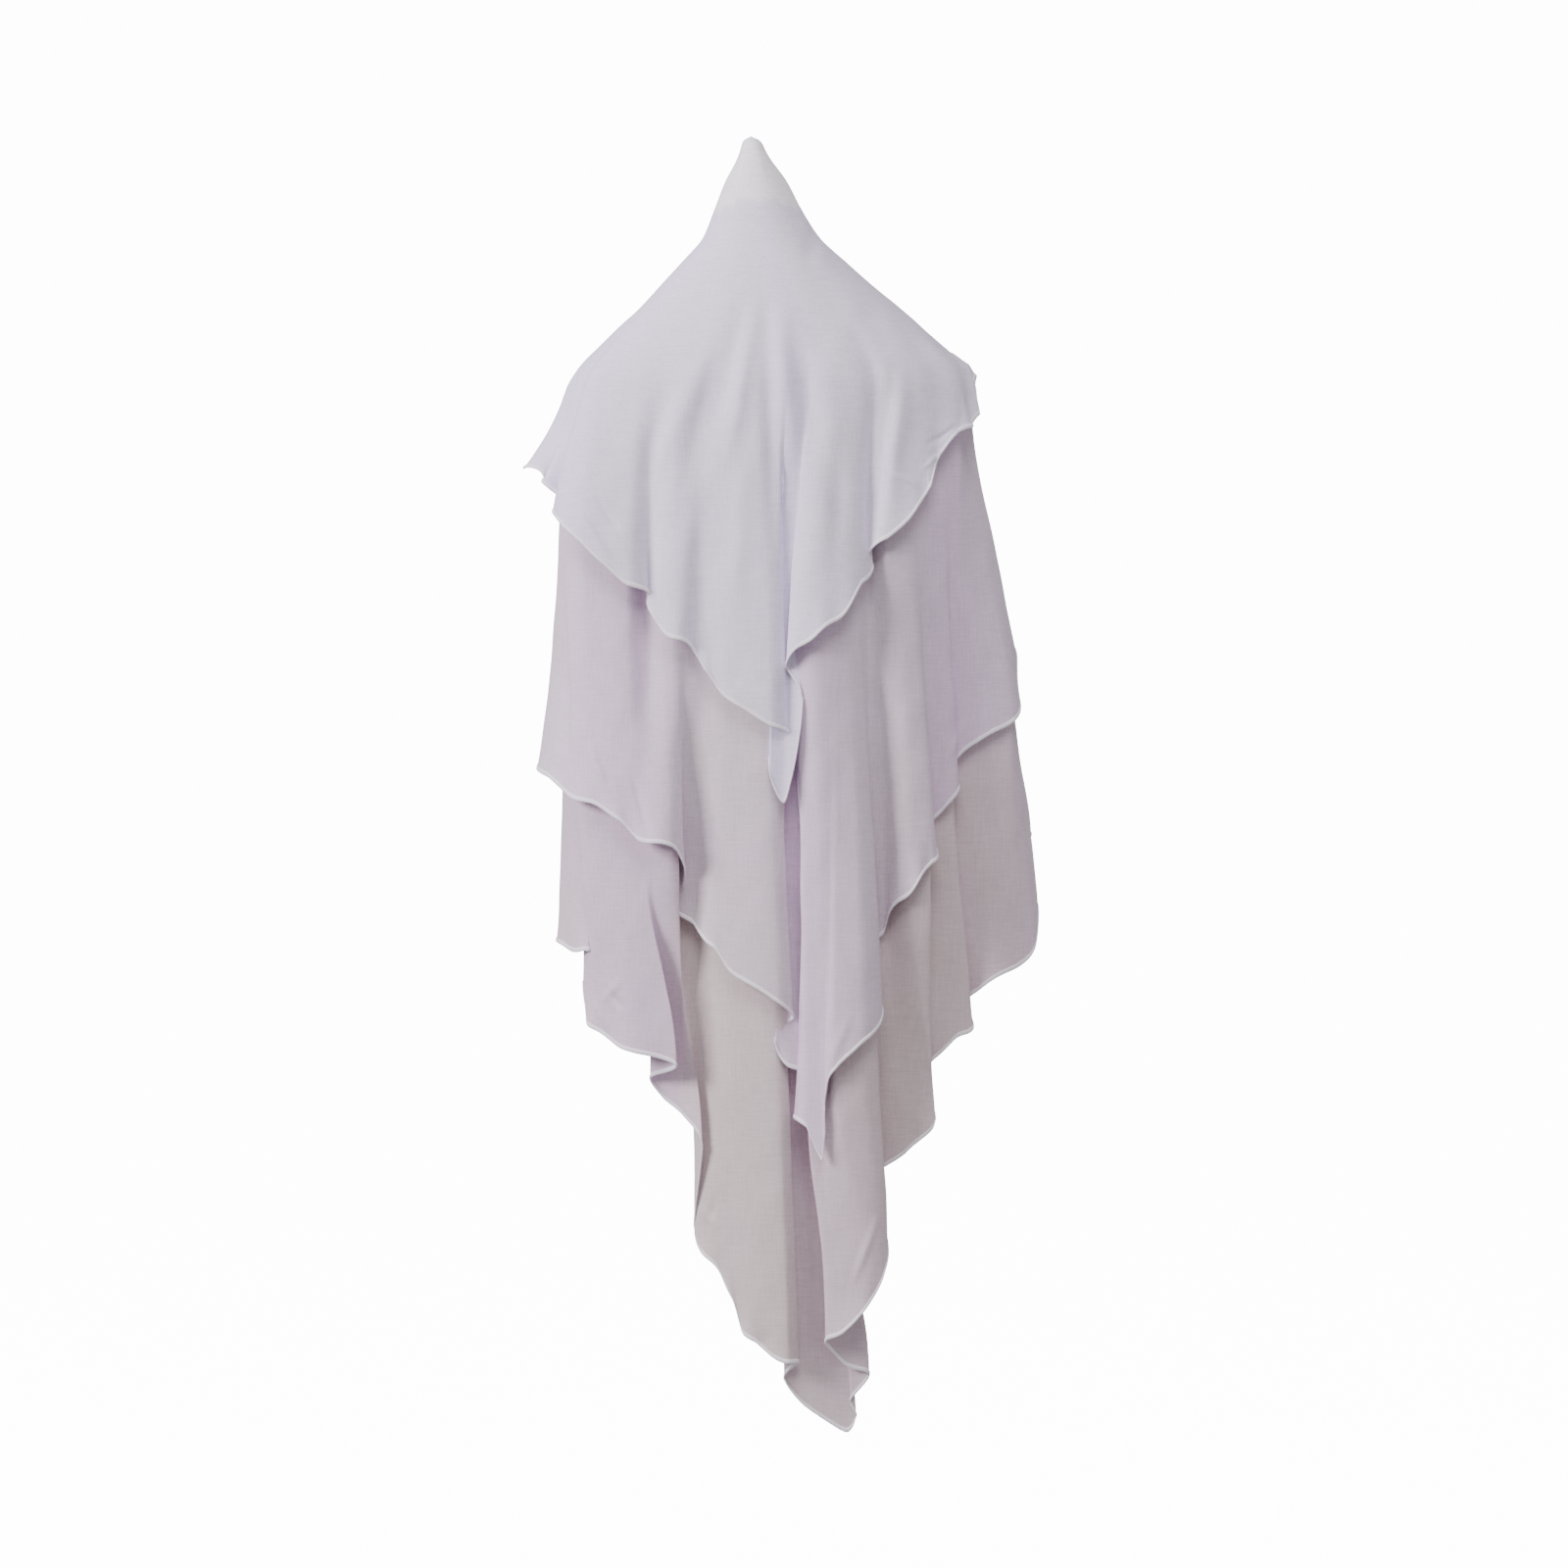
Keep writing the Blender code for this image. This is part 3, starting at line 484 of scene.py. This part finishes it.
def face_in_grid():
    """Half the opening's turn, and the downs of its upper and lower edge."""
    hem_drop = hem_at(UPPER_HEM, UPPER_LENGTH, np.array([FACE_MIDDLE]))[0, 2]
    even = EVEN_FALL * UPPER_LENGTH

    def down_of(drop):
        return 2.0 * drop / (even + math.sqrt(even * even + 4.0 * (hem_drop - even) * drop))

    width = form_size("width", np.array(FACE_TOP + FACE_HEIGHT / 2))
    return math.degrees(math.asin(FACE_WIDTH / 2 / width)), down_of(FACE_TOP), down_of(FACE_TOP + FACE_HEIGHT)


def rounded_grid(turns, downs):
    """The grid bent so that the square block of the face opening becomes an oval: the block's rim goes to the
    circle that a square maps to, with more turn where the form is narrow, and twice as far out the grid lies
    as it was."""
    half_turn, top, bottom = face_in_grid()
    hem_drop = hem_at(UPPER_HEM, UPPER_LENGTH, np.array([FACE_MIDDLE]))[0, 2]
    middle, half_down = (top + bottom) / 2, (bottom - top) / 2
    wide, high = (turns - FACE_MIDDLE) / half_turn, (downs - middle) / half_down
    reach = np.maximum(np.maximum(np.abs(wide), np.abs(high)), TINY)
    pull = np.clip(2.0 - reach, 0.0, 1.0)
    across, along = wide / reach, high / reach
    round_wide = wide * np.sqrt(1.0 - along**2 / 2)
    round_high = high * np.sqrt(1.0 - across**2 / 2)
    high = high + (round_high - high) * pull
    drops = drop_in_upper(np.clip(middle + high * half_down, top, bottom), hem_drop)
    narrow = form_size("width", np.array(FACE_TOP + FACE_HEIGHT / 2)) / form_size("width", drops)
    wide = wide + (round_wide * np.minimum(narrow, MOST_FACE_TURN) - wide) * pull
    return FACE_MIDDLE + wide * half_turn, middle + high * half_down


def grid_lines(tiers):
    """The turns round the body, and the downs to the hem of this many tiers: from near the peak for the
    upper tier, and from the crown seam for the two inner ones."""
    half_turn, top, bottom = face_in_grid()
    low, high = FACE_MIDDLE - half_turn, FACE_MIDDLE + half_turn
    strips = STRIPS_ROUND + (
        (STRIPS_ROUND[-1][1], low, CELLS_BESIDE_FACE),
        (low, high, CELLS_ACROSS_FACE),
        (high, STRIPS_ROUND[0][0] + 360.0, CELLS_BESIDE_FACE),
    )
    turns = np.concatenate([np.linspace(a, b, n, endpoint=False) for a, b, n in strips])
    seam = SEAM_DROP / (EVEN_FALL * UPPER_LENGTH)
    downs = [
        np.linspace(seam, top, CELLS_TO_FACE, endpoint=False),
        np.linspace(top, bottom, CELLS_DOWN_FACE, endpoint=False),
        np.linspace(bottom, 1.0, CELLS_BELOW_FACE[tiers] + 1),
    ]
    if tiers == 1:
        downs.insert(0, seam * np.linspace(0.0, 1.0, CELLS_TO_SEAM + 1)[1:-1] ** 1.6)
    for tier in range(2, tiers + 1):
        downs.append(np.linspace(tier - 1, tier, CELLS_DOWN_TIER[tiers][tier] + 1)[1:])
    return turns, np.concatenate(downs)


def ripples(points, tiers):
    """The fine unevenness of hung chiffon along its normals: three crossing waves, 35 to 90 mm long, that
    fade out towards the peak."""
    x, y, z = points[..., 0], points[..., 1], points[..., 2]
    first = np.sin(x * 70 + z * 21 + tiers) * np.sin(z * 38 - x * 30 + 2.0 * tiers)
    second = 0.6 * np.sin(x * 118 - z * 17 + y * 90) * np.sin(z * 61 + x * 25 + tiers)
    third = 0.4 * np.sin(x * 176 + z * 9 + 3.0 * tiers) * np.sin(z * 90 + 1.0)
    return RIPPLE * (first + second + third) * eased(-z / SHOULDER_DROP)


def creased(points, table):
    """How far the creases of a table lift each point of the back: a bell across each crease, a half wave
    along it."""
    x, drop = points[..., 0], -points[..., 2]
    lift = np.zeros(x.shape)
    for row in table:
        crease = dict(zip(CREASE_COLUMNS, row))
        run_x = crease["to_across"] - crease["from_across"]
        run_drop = crease["to_drop"] - crease["from_drop"]
        run = np.hypot(run_x, run_drop)
        way_x, way_drop = run_x / run, run_drop / run
        past_x, past_drop = x - crease["from_across"], drop - crease["from_drop"]
        along = (past_x * way_x + past_drop * way_drop) / run
        beside = past_x * way_drop - past_drop * way_x
        bell = np.exp(-((beside / crease["half_width"]) ** 2))
        lift += crease["height"] * np.sin(np.pi * np.clip(along, 0.0, 1.0)) * bell
    return lift * (points[..., 1] < 0.0)


def pulled_in(grid_turns, grid_downs, tiers):
    """How far an inner tier hangs back where outer ones cover it: a step for each of them, eased to nothing
    at that one's hem and towards the face opening."""
    steps = np.zeros(grid_downs.shape)
    for hem in range(1, tiers):
        steps += eased((hem - grid_downs) / COVERED_EASE)
    from_back = np.abs((grid_turns + 180.0) % 360.0 - 180.0)
    ends, past = COVERED_TURNS
    return COVERED_PULL * steps * eased((past - from_back) / (past - ends))


def hem_waves(points, tiers):
    """The small waves of a hem, a whole number of them by its length: how far each point near it swings
    out and how far it rises, a cosine and a sine of the way along the hem that wander and swell. They fade
    where the hem runs steeply."""
    hem = points[-1]
    steps = np.linalg.norm(np.roll(hem, -1, axis=0) - hem, axis=1)
    share = (np.cumsum(steps) - steps) / steps.sum()
    early, times = WAVE_WANDER
    wander = early * np.sin(math.tau * times * share + tiers)
    phase = math.tau * np.round(steps.sum() / WAVE_LENGTH) * share + wander
    near = np.clip(1.0 - (points[..., 2] - hem[:, 2]) / WAVE_REACH, 0.0, 1.0) ** 2
    chord = np.roll(hem, -WAVE_SPAN, axis=0) - np.roll(hem, WAVE_SPAN, axis=0)
    steepness = np.abs(chord[:, 2]) / np.linalg.norm(chord, axis=1)
    level = eased((WAVE_STEEPEST - steepness) / (1.0 - WAVE_STEEPEST) + 1.0)
    spread = np.hanning(4 * WAVE_SPAN + 1)
    level = np.convolve(np.pad(level, 2 * WAVE_SPAN, mode="wrap"), spread / spread.sum(), mode="valid")
    mean, change, times = WAVE_SWELL
    swell = near * level * (mean + change * np.sin(math.tau * times * share + 2.0 * tiers))
    return WAVE_LIFT * swell * (1.0 + np.cos(phase)) / 2, WAVE_DROP * swell * np.sin(phase)


def tier_points(turns, downs, tiers, creases=()):
    """One tier's grid of points with their normals. Each tier out lies a wall and a gap further along the
    normals of the shape that all share, its hem flares, and its own ripples and creases lie on it."""
    layer = 3 - tiers
    grid_turns, grid_downs = rounded_grid(*np.meshgrid(turns, downs))
    points, upper_flare, middle_flare = folded_cloth(grid_turns, grid_downs)
    lifted = layer * (CLOTH + LAYER_GAP) * eased(-points[..., 2] / PEAK_ROUND)
    lifted = lifted - pulled_in(grid_turns, grid_downs, tiers)
    swing = np.zeros(points.shape)
    if tiers == 1:
        near_hem = np.clip(2.0 * grid_downs - 1.0, 0.0, 1.0)
        lifted = lifted + upper_flare * near_hem**FLARE_GROWTH
        swing = tip_at(UPPER_TIP, grid_turns, near_hem**2)
    if tiers == 2:
        near_hem = np.clip(grid_downs - 1.0, 0.0, 1.0) ** 2
        lifted = lifted + middle_flare * near_hem
        swing = tip_at(MIDDLE_TIP, grid_turns, near_hem)
    points = points + normals_of(points) * lifted[..., None] + swing
    normals = normals_of(points)
    free = np.clip((grid_downs - tiers + 1.0) * 4.0 + (tiers == 1), 0.0, 1.0)
    out, up = hem_waves(points, tiers)
    lift = (ripples(points, tiers) + creased(points, creases)) * free + out
    points = points + unit(normals) * lift[..., None] + np.array([0.0, 0.0, 1.0]) * up[..., None]
    return points, unit(normals), grid_turns, grid_downs


def in_face(turns, downs):
    """For each cell of the grid, whether it lies in the block that the face opening takes away."""
    half_turn, top, bottom = face_in_grid()
    wide = np.abs((turns + np.append(turns[1:], turns[0] + 360.0)) / 2 - FACE_MIDDLE) < half_turn
    middles = (downs[:-1] + downs[1:]) / 2
    return ((middles > top) & (middles < bottom))[:, None] & wide[None, :]


def linear(red, green, blue):
    """A colour from its 0 to 255 screen values to the shader's own scale."""
    parts = np.array([red, green, blue]) / 255.0
    found = np.where(parts <= 0.04045, parts / 12.92, ((parts + 0.055) / 1.055) ** 2.4)
    return (*found.tolist(), 1.0)


def new_group(name, inputs, outputs):
    """An empty shader node group with float or colour sockets, and its input and output nodes."""
    group = bpy.data.node_groups.new(name, "ShaderNodeTree")
    for socket, kind, value in inputs:
        made = group.interface.new_socket(socket, in_out="INPUT", socket_type=kind)
        made.default_value = value
    for socket, kind in outputs:
        group.interface.new_socket(socket, in_out="OUTPUT", socket_type=kind)
    return group, group.nodes.new("NodeGroupInput"), group.nodes.new("NodeGroupOutput")


def math_node(nodes, links, operation, first, second):
    """A Math node that reads two sockets or numbers."""
    made = nodes.new("ShaderNodeMath")
    made.operation = operation
    for socket, value in zip(made.inputs, (first, second)):
        if isinstance(value, (int, float)):
            socket.default_value = value
        else:
            links.new(value, socket)
    return made.outputs[0]


def noise_node(nodes, links, vector, stretch, scale, detail):
    """Noise on a place that is first scaled along its three axes."""
    scaled = nodes.new("ShaderNodeVectorMath")
    scaled.operation = "MULTIPLY"
    scaled.inputs[1].default_value = stretch
    links.new(vector, scaled.inputs[0])
    made = nodes.new("ShaderNodeTexNoise")
    made.inputs["Scale"].default_value = scale
    made.inputs["Detail"].default_value = detail
    links.new(scaled.outputs[0], made.inputs["Vector"])
    return made.outputs["Fac"]


def crepe_weave_group():
    """The weave of crepe chiffon: warp threads that run down, weft threads that run across, both a little
    uneven, over a fine grain. Height is for the bump, and Shade is the threads' share of light and dark."""
    group, given, out = new_group(
        "crepe_weave",
        (("Thread", "NodeSocketFloat", THREAD), ("Slubs", "NodeSocketFloat", 0.5)),
        (("Height", "NodeSocketFloat"), ("Shade", "NodeSocketFloat")),
    )
    nodes, links = group.nodes, group.links
    place = nodes.new("ShaderNodeTexCoord").outputs["Object"]
    counted = nodes.new("ShaderNodeVectorMath")
    counted.operation = "SCALE"
    links.new(place, counted.inputs[0])
    links.new(math_node(nodes, links, "DIVIDE", 1.0, given.outputs["Thread"]), counted.inputs["Scale"])
    weft = noise_node(nodes, links, counted.outputs[0], (0.05, 0.05, 0.55), 1.0, 1.0)
    warp = noise_node(nodes, links, counted.outputs[0], (0.55, 0.55, 0.04), 1.0, 1.0)
    grain = noise_node(nodes, links, counted.outputs[0], (1.0, 1.0, 1.0), 1.3, 1.0)
    threads = math_node(nodes, links, "ADD", weft, warp)
    slubs = math_node(nodes, links, "MULTIPLY", threads, given.outputs["Slubs"])
    height = math_node(nodes, links, "ADD", slubs, grain)
    links.new(height, out.inputs["Height"])
    links.new(math_node(nodes, links, "SUBTRACT", threads, 1.0), out.inputs["Shade"])
    return group


def cloth_tone_group():
    """The cloth's colour: its painted shade grey and its own lilac mixed by the painted light-and-shade tint,
    with soft clouds a hand wide, then the painted backlight where one layer hangs alone, and the weave's
    light and dark."""
    group, given, out = new_group(
        "cloth_tone",
        (
            ("ShadeGrey", "NodeSocketColor", (0.6, 0.6, 0.6, 1.0)),
            ("Lilac", "NodeSocketColor", (0.6, 0.5, 0.7, 1.0)),
            ("SingleBacklit", "NodeSocketColor", (0.8, 0.8, 0.8, 1.0)),
            ("Tint", "NodeSocketFloat", 0.5),
            ("Alone", "NodeSocketFloat", 0.0),
            ("Shade", "NodeSocketFloat", 0.0),
            ("Contrast", "NodeSocketFloat", 0.2),
        ),
        (("Color", "NodeSocketColor"),),
    )
    nodes, links = group.nodes, group.links
    place = nodes.new("ShaderNodeTexCoord").outputs["Object"]
    clouds = noise_node(nodes, links, place, (1.0, 1.0, 0.6), 9.0, 2.0)
    cloudy = math_node(nodes, links, "MULTIPLY", math_node(nodes, links, "SUBTRACT", clouds, 0.5), 0.9)
    share = nodes.new("ShaderNodeClamp")
    links.new(math_node(nodes, links, "ADD", given.outputs["Tint"], cloudy), share.inputs["Value"])
    tone = nodes.new("ShaderNodeMix")
    tone.data_type = "RGBA"
    links.new(share.outputs[0], tone.inputs["Factor"])
    links.new(given.outputs["ShadeGrey"], tone.inputs["A"])
    links.new(given.outputs["Lilac"], tone.inputs["B"])
    alone = nodes.new("ShaderNodeMix")
    alone.data_type = "RGBA"
    links.new(given.outputs["Alone"], alone.inputs["Factor"])
    links.new(tone.outputs["Result"], alone.inputs["A"])
    links.new(given.outputs["SingleBacklit"], alone.inputs["B"])
    shade = math_node(nodes, links, "MULTIPLY", given.outputs["Shade"], given.outputs["Contrast"])
    lit = nodes.new("ShaderNodeVectorMath")
    lit.operation = "SCALE"
    links.new(alone.outputs["Result"], lit.inputs[0])
    links.new(math_node(nodes, links, "ADD", 1.0, shade), lit.inputs["Scale"])
    links.new(lit.outputs[0], out.inputs["Color"])
    return group


def cloth_material(name, weave, tone, grey, lilac, single_backlit, depth):
    """Matt chiffon: the tone group's colour from the given painted shade grey, lilac and painted backlit
    tones, and the weave's height as bump.
    """
    made = bpy.data.materials.new(name)
    made.use_nodes = True
    nodes, links = made.node_tree.nodes, made.node_tree.links
    shader = nodes["Principled BSDF"]
    shader.inputs["Roughness"].default_value = 0.82
    shader.inputs["Specular IOR Level"].default_value = 0.25
    shader.inputs["Sheen Weight"].default_value = 0.22
    shader.inputs["Sheen Roughness"].default_value = 0.55
    shader.inputs["Sheen Tint"].default_value = (0.92, 0.88, 1.0, 1.0)
    threads = nodes.new("ShaderNodeGroup")
    threads.node_tree = weave
    colour = nodes.new("ShaderNodeGroup")
    colour.node_tree = tone
    colour.inputs["ShadeGrey"].default_value = grey
    colour.inputs["Lilac"].default_value = lilac
    colour.inputs["SingleBacklit"].default_value = single_backlit
    for attribute, socket in (("shade_tint", "Tint"), ("alone", "Alone")):
        read = nodes.new("ShaderNodeAttribute")
        read.attribute_name = attribute
        links.new(read.outputs["Fac"], colour.inputs[socket])
    links.new(threads.outputs["Shade"], colour.inputs["Shade"])
    links.new(colour.outputs["Color"], shader.inputs["Base Color"])
    bump = nodes.new("ShaderNodeBump")
    bump.inputs["Strength"].default_value = 0.5
    bump.inputs["Distance"].default_value = depth
    links.new(threads.outputs["Height"], bump.inputs["Height"])
    links.new(bump.outputs["Normal"], shader.inputs["Normal"])
    return made


def mesh_piece(name, points, faces, finish, attributes):
    """A smooth object from arrays of points and faces, without the points that no face uses."""
    used = np.unique(faces)
    place = np.full(len(points), -1)
    place[used] = np.arange(len(used))
    mesh = bpy.data.meshes.new(name)
    mesh.from_pydata(points[used].tolist(), [], place[faces].tolist())
    for key, values in attributes.items():
        mesh.attributes.new(key, "FLOAT", "POINT").data.foreach_set("value", values[used].astype(np.float32))
    mesh.update()
    mesh.shade_smooth()
    mesh.materials.append(finish)
    made = bpy.data.objects.new(name, mesh)
    bpy.context.scene.collection.objects.link(made)
    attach(made, "root")
    return made


def grid_faces(rows, columns, open_cells):
    """Four-sided faces for each cell that isn't open, on a grid that closes on itself round its columns."""
    row, column_number = np.nonzero(~open_cells)
    beside = (column_number + 1) % columns
    here, below = row * columns, (row + 1) * columns
    return np.stack([here + column_number, below + column_number, below + beside, here + beside], axis=1)


def band_round(path, inward, normal, height, thickness):
    """A closed tube whose oval section, height by thickness, is carried along a ring of points: it reaches
    from the ring's edge inward. Returns its points and faces."""
    angle = np.arange(HEM_POINTS) / HEM_POINTS * math.tau
    side = (height / 2 * (0.9 + np.cos(angle)))[None, :, None]
    lift = (thickness / 2 * np.sin(angle))[None, :, None]
    rings = path[:, None] + inward[:, None] * side + normal[:, None] * lift
    count = len(path)
    place = np.arange(count * HEM_POINTS).reshape(count, HEM_POINTS)
    ahead, next_point = np.roll(place, -1, axis=0), np.roll(place, -1, axis=1)
    faces = np.stack([place, ahead, np.roll(ahead, -1, axis=1), next_point], axis=-1).reshape(-1, 4)
    return rings.reshape(-1, 3), faces


def add_tier(name, tiers, creases, shade_tints, flat, area, finish, hem_highlight_finish):
    """A tier's sheet with its hem. The sheet's flat size and area as it was cut are not used."""
    turns, downs = grid_lines(tiers)
    points, normals, grid_turns, grid_downs = tier_points(turns, downs, tiers, creases)
    # The tint paints light and shade into the hue: grey where folds turn from the light, lilac where they
    # face it.
    shade_tint = curve_through(
        column(shade_tints, TINT_COLUMNS, "turn"), column(shade_tints, TINT_COLUMNS, "shade_tint")[:, None], grid_turns.ravel()
    )[:, 0]
    # Above the crown seam the upper tier hangs alone; there its colour turns to painted backlight, as if
    # light shone through one layer.
    seam = SEAM_DROP / (EVEN_FALL * UPPER_LENGTH)
    arch = SEAM_ARCH[0] + SEAM_ARCH[1] * np.sin(np.radians(grid_turns.ravel())) ** 2
    alone = eased((seam * arch - grid_downs.ravel()) / (SEAM_EDGE * seam) + 0.5) * (tiers == 1)
    grid = points.reshape(-1, 3)
    faces = grid_faces(len(downs), len(turns), in_face(turns, downs))
    hem_points, hem_faces = band_round(
        points[-1], unit(points[-2] - points[-1]), normals[-1], HEM_HEIGHT, HEM_THICKNESS
    )
    # The hem band takes the near-white finish: a painted highlight.
    hem = mesh_piece(
        name + "_hem", hem_points, hem_faces, hem_highlight_finish,
        {"shade_tint": np.repeat(shade_tint[-len(turns):], HEM_POINTS), "alone": np.zeros(len(hem_points))},
    )
    sheet = mesh_piece(name + "_cloth", grid, faces, finish, {"shade_tint": shade_tint, "alone": alone})
    if tiers == 1:
        close_peak(sheet, len(turns))
    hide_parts(name)
    return sheet


def close_peak(sheet, columns):
    """Closes the peak with one point over the first ring of the grid."""
    mesh = sheet.data
    first = np.empty(len(mesh.vertices) * 3)
    mesh.vertices.foreach_get("co", first)
    ring = first.reshape(-1, 3)[:columns]
    mesh.vertices.add(1)
    tip = len(mesh.vertices) - 1
    mesh.vertices[tip].co = (ring[:, 0].mean(), ring[:, 1].mean(), ring[:, 2].max() + PEAK_CAP)
    number = np.arange(columns)
    corners = np.stack([np.full(columns, tip), number, (number + 1) % columns], axis=1).ravel()
    loops, polygons = len(mesh.loops), len(mesh.polygons)
    mesh.loops.add(columns * 3)
    mesh.polygons.add(columns)
    every = np.empty(loops + columns * 3, dtype=np.int32)
    mesh.loops.foreach_get("vertex_index", every)
    every[loops:] = corners
    mesh.loops.foreach_set("vertex_index", every)
    starts = np.empty(polygons + columns, dtype=np.int32)
    mesh.polygons.foreach_get("loop_start", starts)
    starts[polygons:] = loops + number * 3
    mesh.polygons.foreach_set("loop_start", starts)
    mesh.update(calc_edges=True)
    mesh.shade_smooth()
    for key in ("shade_tint", "alone"):
        mesh.attributes[key].data[tip].value = mesh.attributes[key].data[0].value


def face_rim(turns, downs):
    """Row and column numbers of the grid points round the face opening's block, once round."""
    half_turn, top, bottom = face_in_grid()
    inside = np.nonzero(np.abs(turns - FACE_MIDDLE) < half_turn + TINY)[0]
    high = np.nonzero((downs > top - TINY) & (downs < bottom + TINY))[0]
    rows = np.concatenate(
        [np.full(len(inside), high[0]), high[1:], np.full(len(inside) - 1, high[-1]), high[-2:0:-1]]
    )
    columns = np.concatenate(
        [inside, np.full(len(high) - 1, inside[-1]), inside[-2::-1], np.full(len(high) - 2, inside[0])]
    )
    return rows, columns


def add_binding(finish):
    """The folded binding round the face opening: an oval section over the three cut edges, at the middle
    layer."""
    turns, downs = grid_lines(1)
    grid, normals = tier_points(turns, downs, 2)[:2]
    rows, columns = face_rim(turns, downs)
    rim, normal = grid[rows, columns], normals[rows, columns]
    along = unit(np.roll(rim, -1, axis=0) - np.roll(rim, 1, axis=0))
    inward = unit(np.cross(normal, along))
    inward = inward * np.sign(np.sum(inward * (rim.mean(axis=0) - rim), axis=1, keepdims=True))
    start = rim - inward * BINDING_WIDTH * 0.55
    thickness = 3 * CLOTH + 4 * LAYER_GAP
    points, faces = band_round(start, inward, normal, BINDING_WIDTH * 1.6, thickness)
    # The binding takes the hems' near-white finish: a painted highlight.
    made = mesh_piece(
        "face_binding_cloth", points, faces[:, ::-1], finish,
        {"shade_tint": np.full(len(points), 0.6), "alone": np.zeros(len(points))},
    )
    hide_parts("face_binding")
    return made


def add_area_light(name, place, aim, size, power, colour):
    """A square soft light at a place, turned to its aim."""
    light = bpy.data.lights.new(name, "AREA")
    light.shape = "SQUARE"
    light.size = size
    light.energy = power
    light.color = colour
    made = bpy.data.objects.new(name, light)
    made.location = place
    way = np.array(aim) - np.array(place)
    made.rotation_euler = Vector(way.tolist()).to_track_quat("-Z", "Y").to_euler()
    bpy.context.scene.collection.objects.link(made)
    return made


def add_world(light, seen):
    """Even white light from all round, and a white backdrop where the camera looks past the object."""
    world = bpy.data.worlds.new("studio_white")
    bpy.context.scene.world = world
    world.use_nodes = True
    nodes, links = world.node_tree.nodes, world.node_tree.links
    background = nodes["Background"]
    background.inputs["Color"].default_value = (1.0, 1.0, 1.0, 1.0)
    rays = nodes.new("ShaderNodeLightPath")
    strength = nodes.new("ShaderNodeMix")
    strength.inputs["A"].default_value = light
    strength.inputs["B"].default_value = seen
    links.new(rays.outputs["Is Camera Ray"], strength.inputs["Factor"])
    links.new(strength.outputs["Result"], background.inputs["Strength"])


def add_floor():
    """A wide plain pale floor under the hanging garment."""
    near, far = -FLOOR_REACH, FLOOR_REACH
    corners = [(x, y, FLOOR_HEIGHT) for x, y in ((near, near), (far, near), (far, far), (near, far))]
    mesh = bpy.data.meshes.new("studio_floor")
    mesh.from_pydata(corners, [], [(0, 1, 2, 3)])
    made = bpy.data.objects.new("studio_floor", mesh)
    bpy.context.scene.collection.objects.link(made)
    finish = bpy.data.materials.new("studio_floor")
    finish.use_nodes = True
    shader = finish.node_tree.nodes["Principled BSDF"]
    shader.inputs["Base Color"].default_value = (0.6, 0.6, 0.6, 1.0)
    shader.inputs["Roughness"].default_value = 1.0
    shader.inputs["Specular IOR Level"].default_value = 0.0
    shader.inputs["Emission Color"].default_value = (1.0, 1.0, 1.0, 1.0)
    shader.inputs["Emission Strength"].default_value = WHITE
    mesh.materials.append(finish)
    made.visible_diffuse = False
    made.visible_glossy = False


def add_camera():
    """Level with the middle of the photograph's frame, 8 m back, 1.72 m of width in view at the hems."""
    middle, hems, away, width = (0.0366, -0.7132), -0.03, 8.0, 1.72
    camera = bpy.data.cameras.new("photo_camera")
    camera.sensor_width = 36.0
    camera.lens = camera.sensor_width * (away + hems) / width
    camera.clip_end = 200.0
    made = bpy.data.objects.new("photo_camera", camera)
    made.location = (middle[0], -away, middle[1])
    made.rotation_euler = (math.radians(90.0), 0.0, 0.0)
    bpy.context.scene.collection.objects.link(made)
    bpy.context.scene.camera = made


add_camera()
weave = crepe_weave_group()
tone = cloth_tone_group()
# The colour of one layer alone: painted backlight shining through the chiffon.
SINGLE_BACKLIT = linear(246, 238, 246)
# Each tier's grey is painted shade and its lilac the cloth's own; the upper tier's tones are the lightest and
# the lower tier's the greyest.
FINISHES = {
    "upper_tier": cloth_material(
        "upper_chiffon", weave, tone, linear(228, 217, 234), linear(230, 218, 246), SINGLE_BACKLIT, BUMP_DEPTH
    ),
    "middle_tier": cloth_material(
        "middle_chiffon", weave, tone, linear(214, 200, 210), linear(224, 200, 226), SINGLE_BACKLIT, BUMP_DEPTH
    ),
    "lower_tier": cloth_material(
        "lower_chiffon", weave, tone, linear(212, 195, 196), linear(220, 196, 218), SINGLE_BACKLIT, BUMP_DEPTH
    ),
}
# The hems and the face binding are near white: a painted highlight along the rolled edges.
HEM_HIGHLIGHT_FINISH = cloth_material(
    "hem_chiffon_painted_highlight", weave, tone, linear(246, 238, 246), linear(246, 236, 250), SINGLE_BACKLIT, BUMP_DEPTH
)
for tier in TIERS:
    add_tier(*tier, FINISHES[tier[0]], HEM_HIGHLIGHT_FINISH)
add_binding(HEM_HIGHLIGHT_FINISH)
add_world(EVEN_LIGHT, WHITE)
add_floor()
for light in LIGHTS:
    add_area_light(*light)
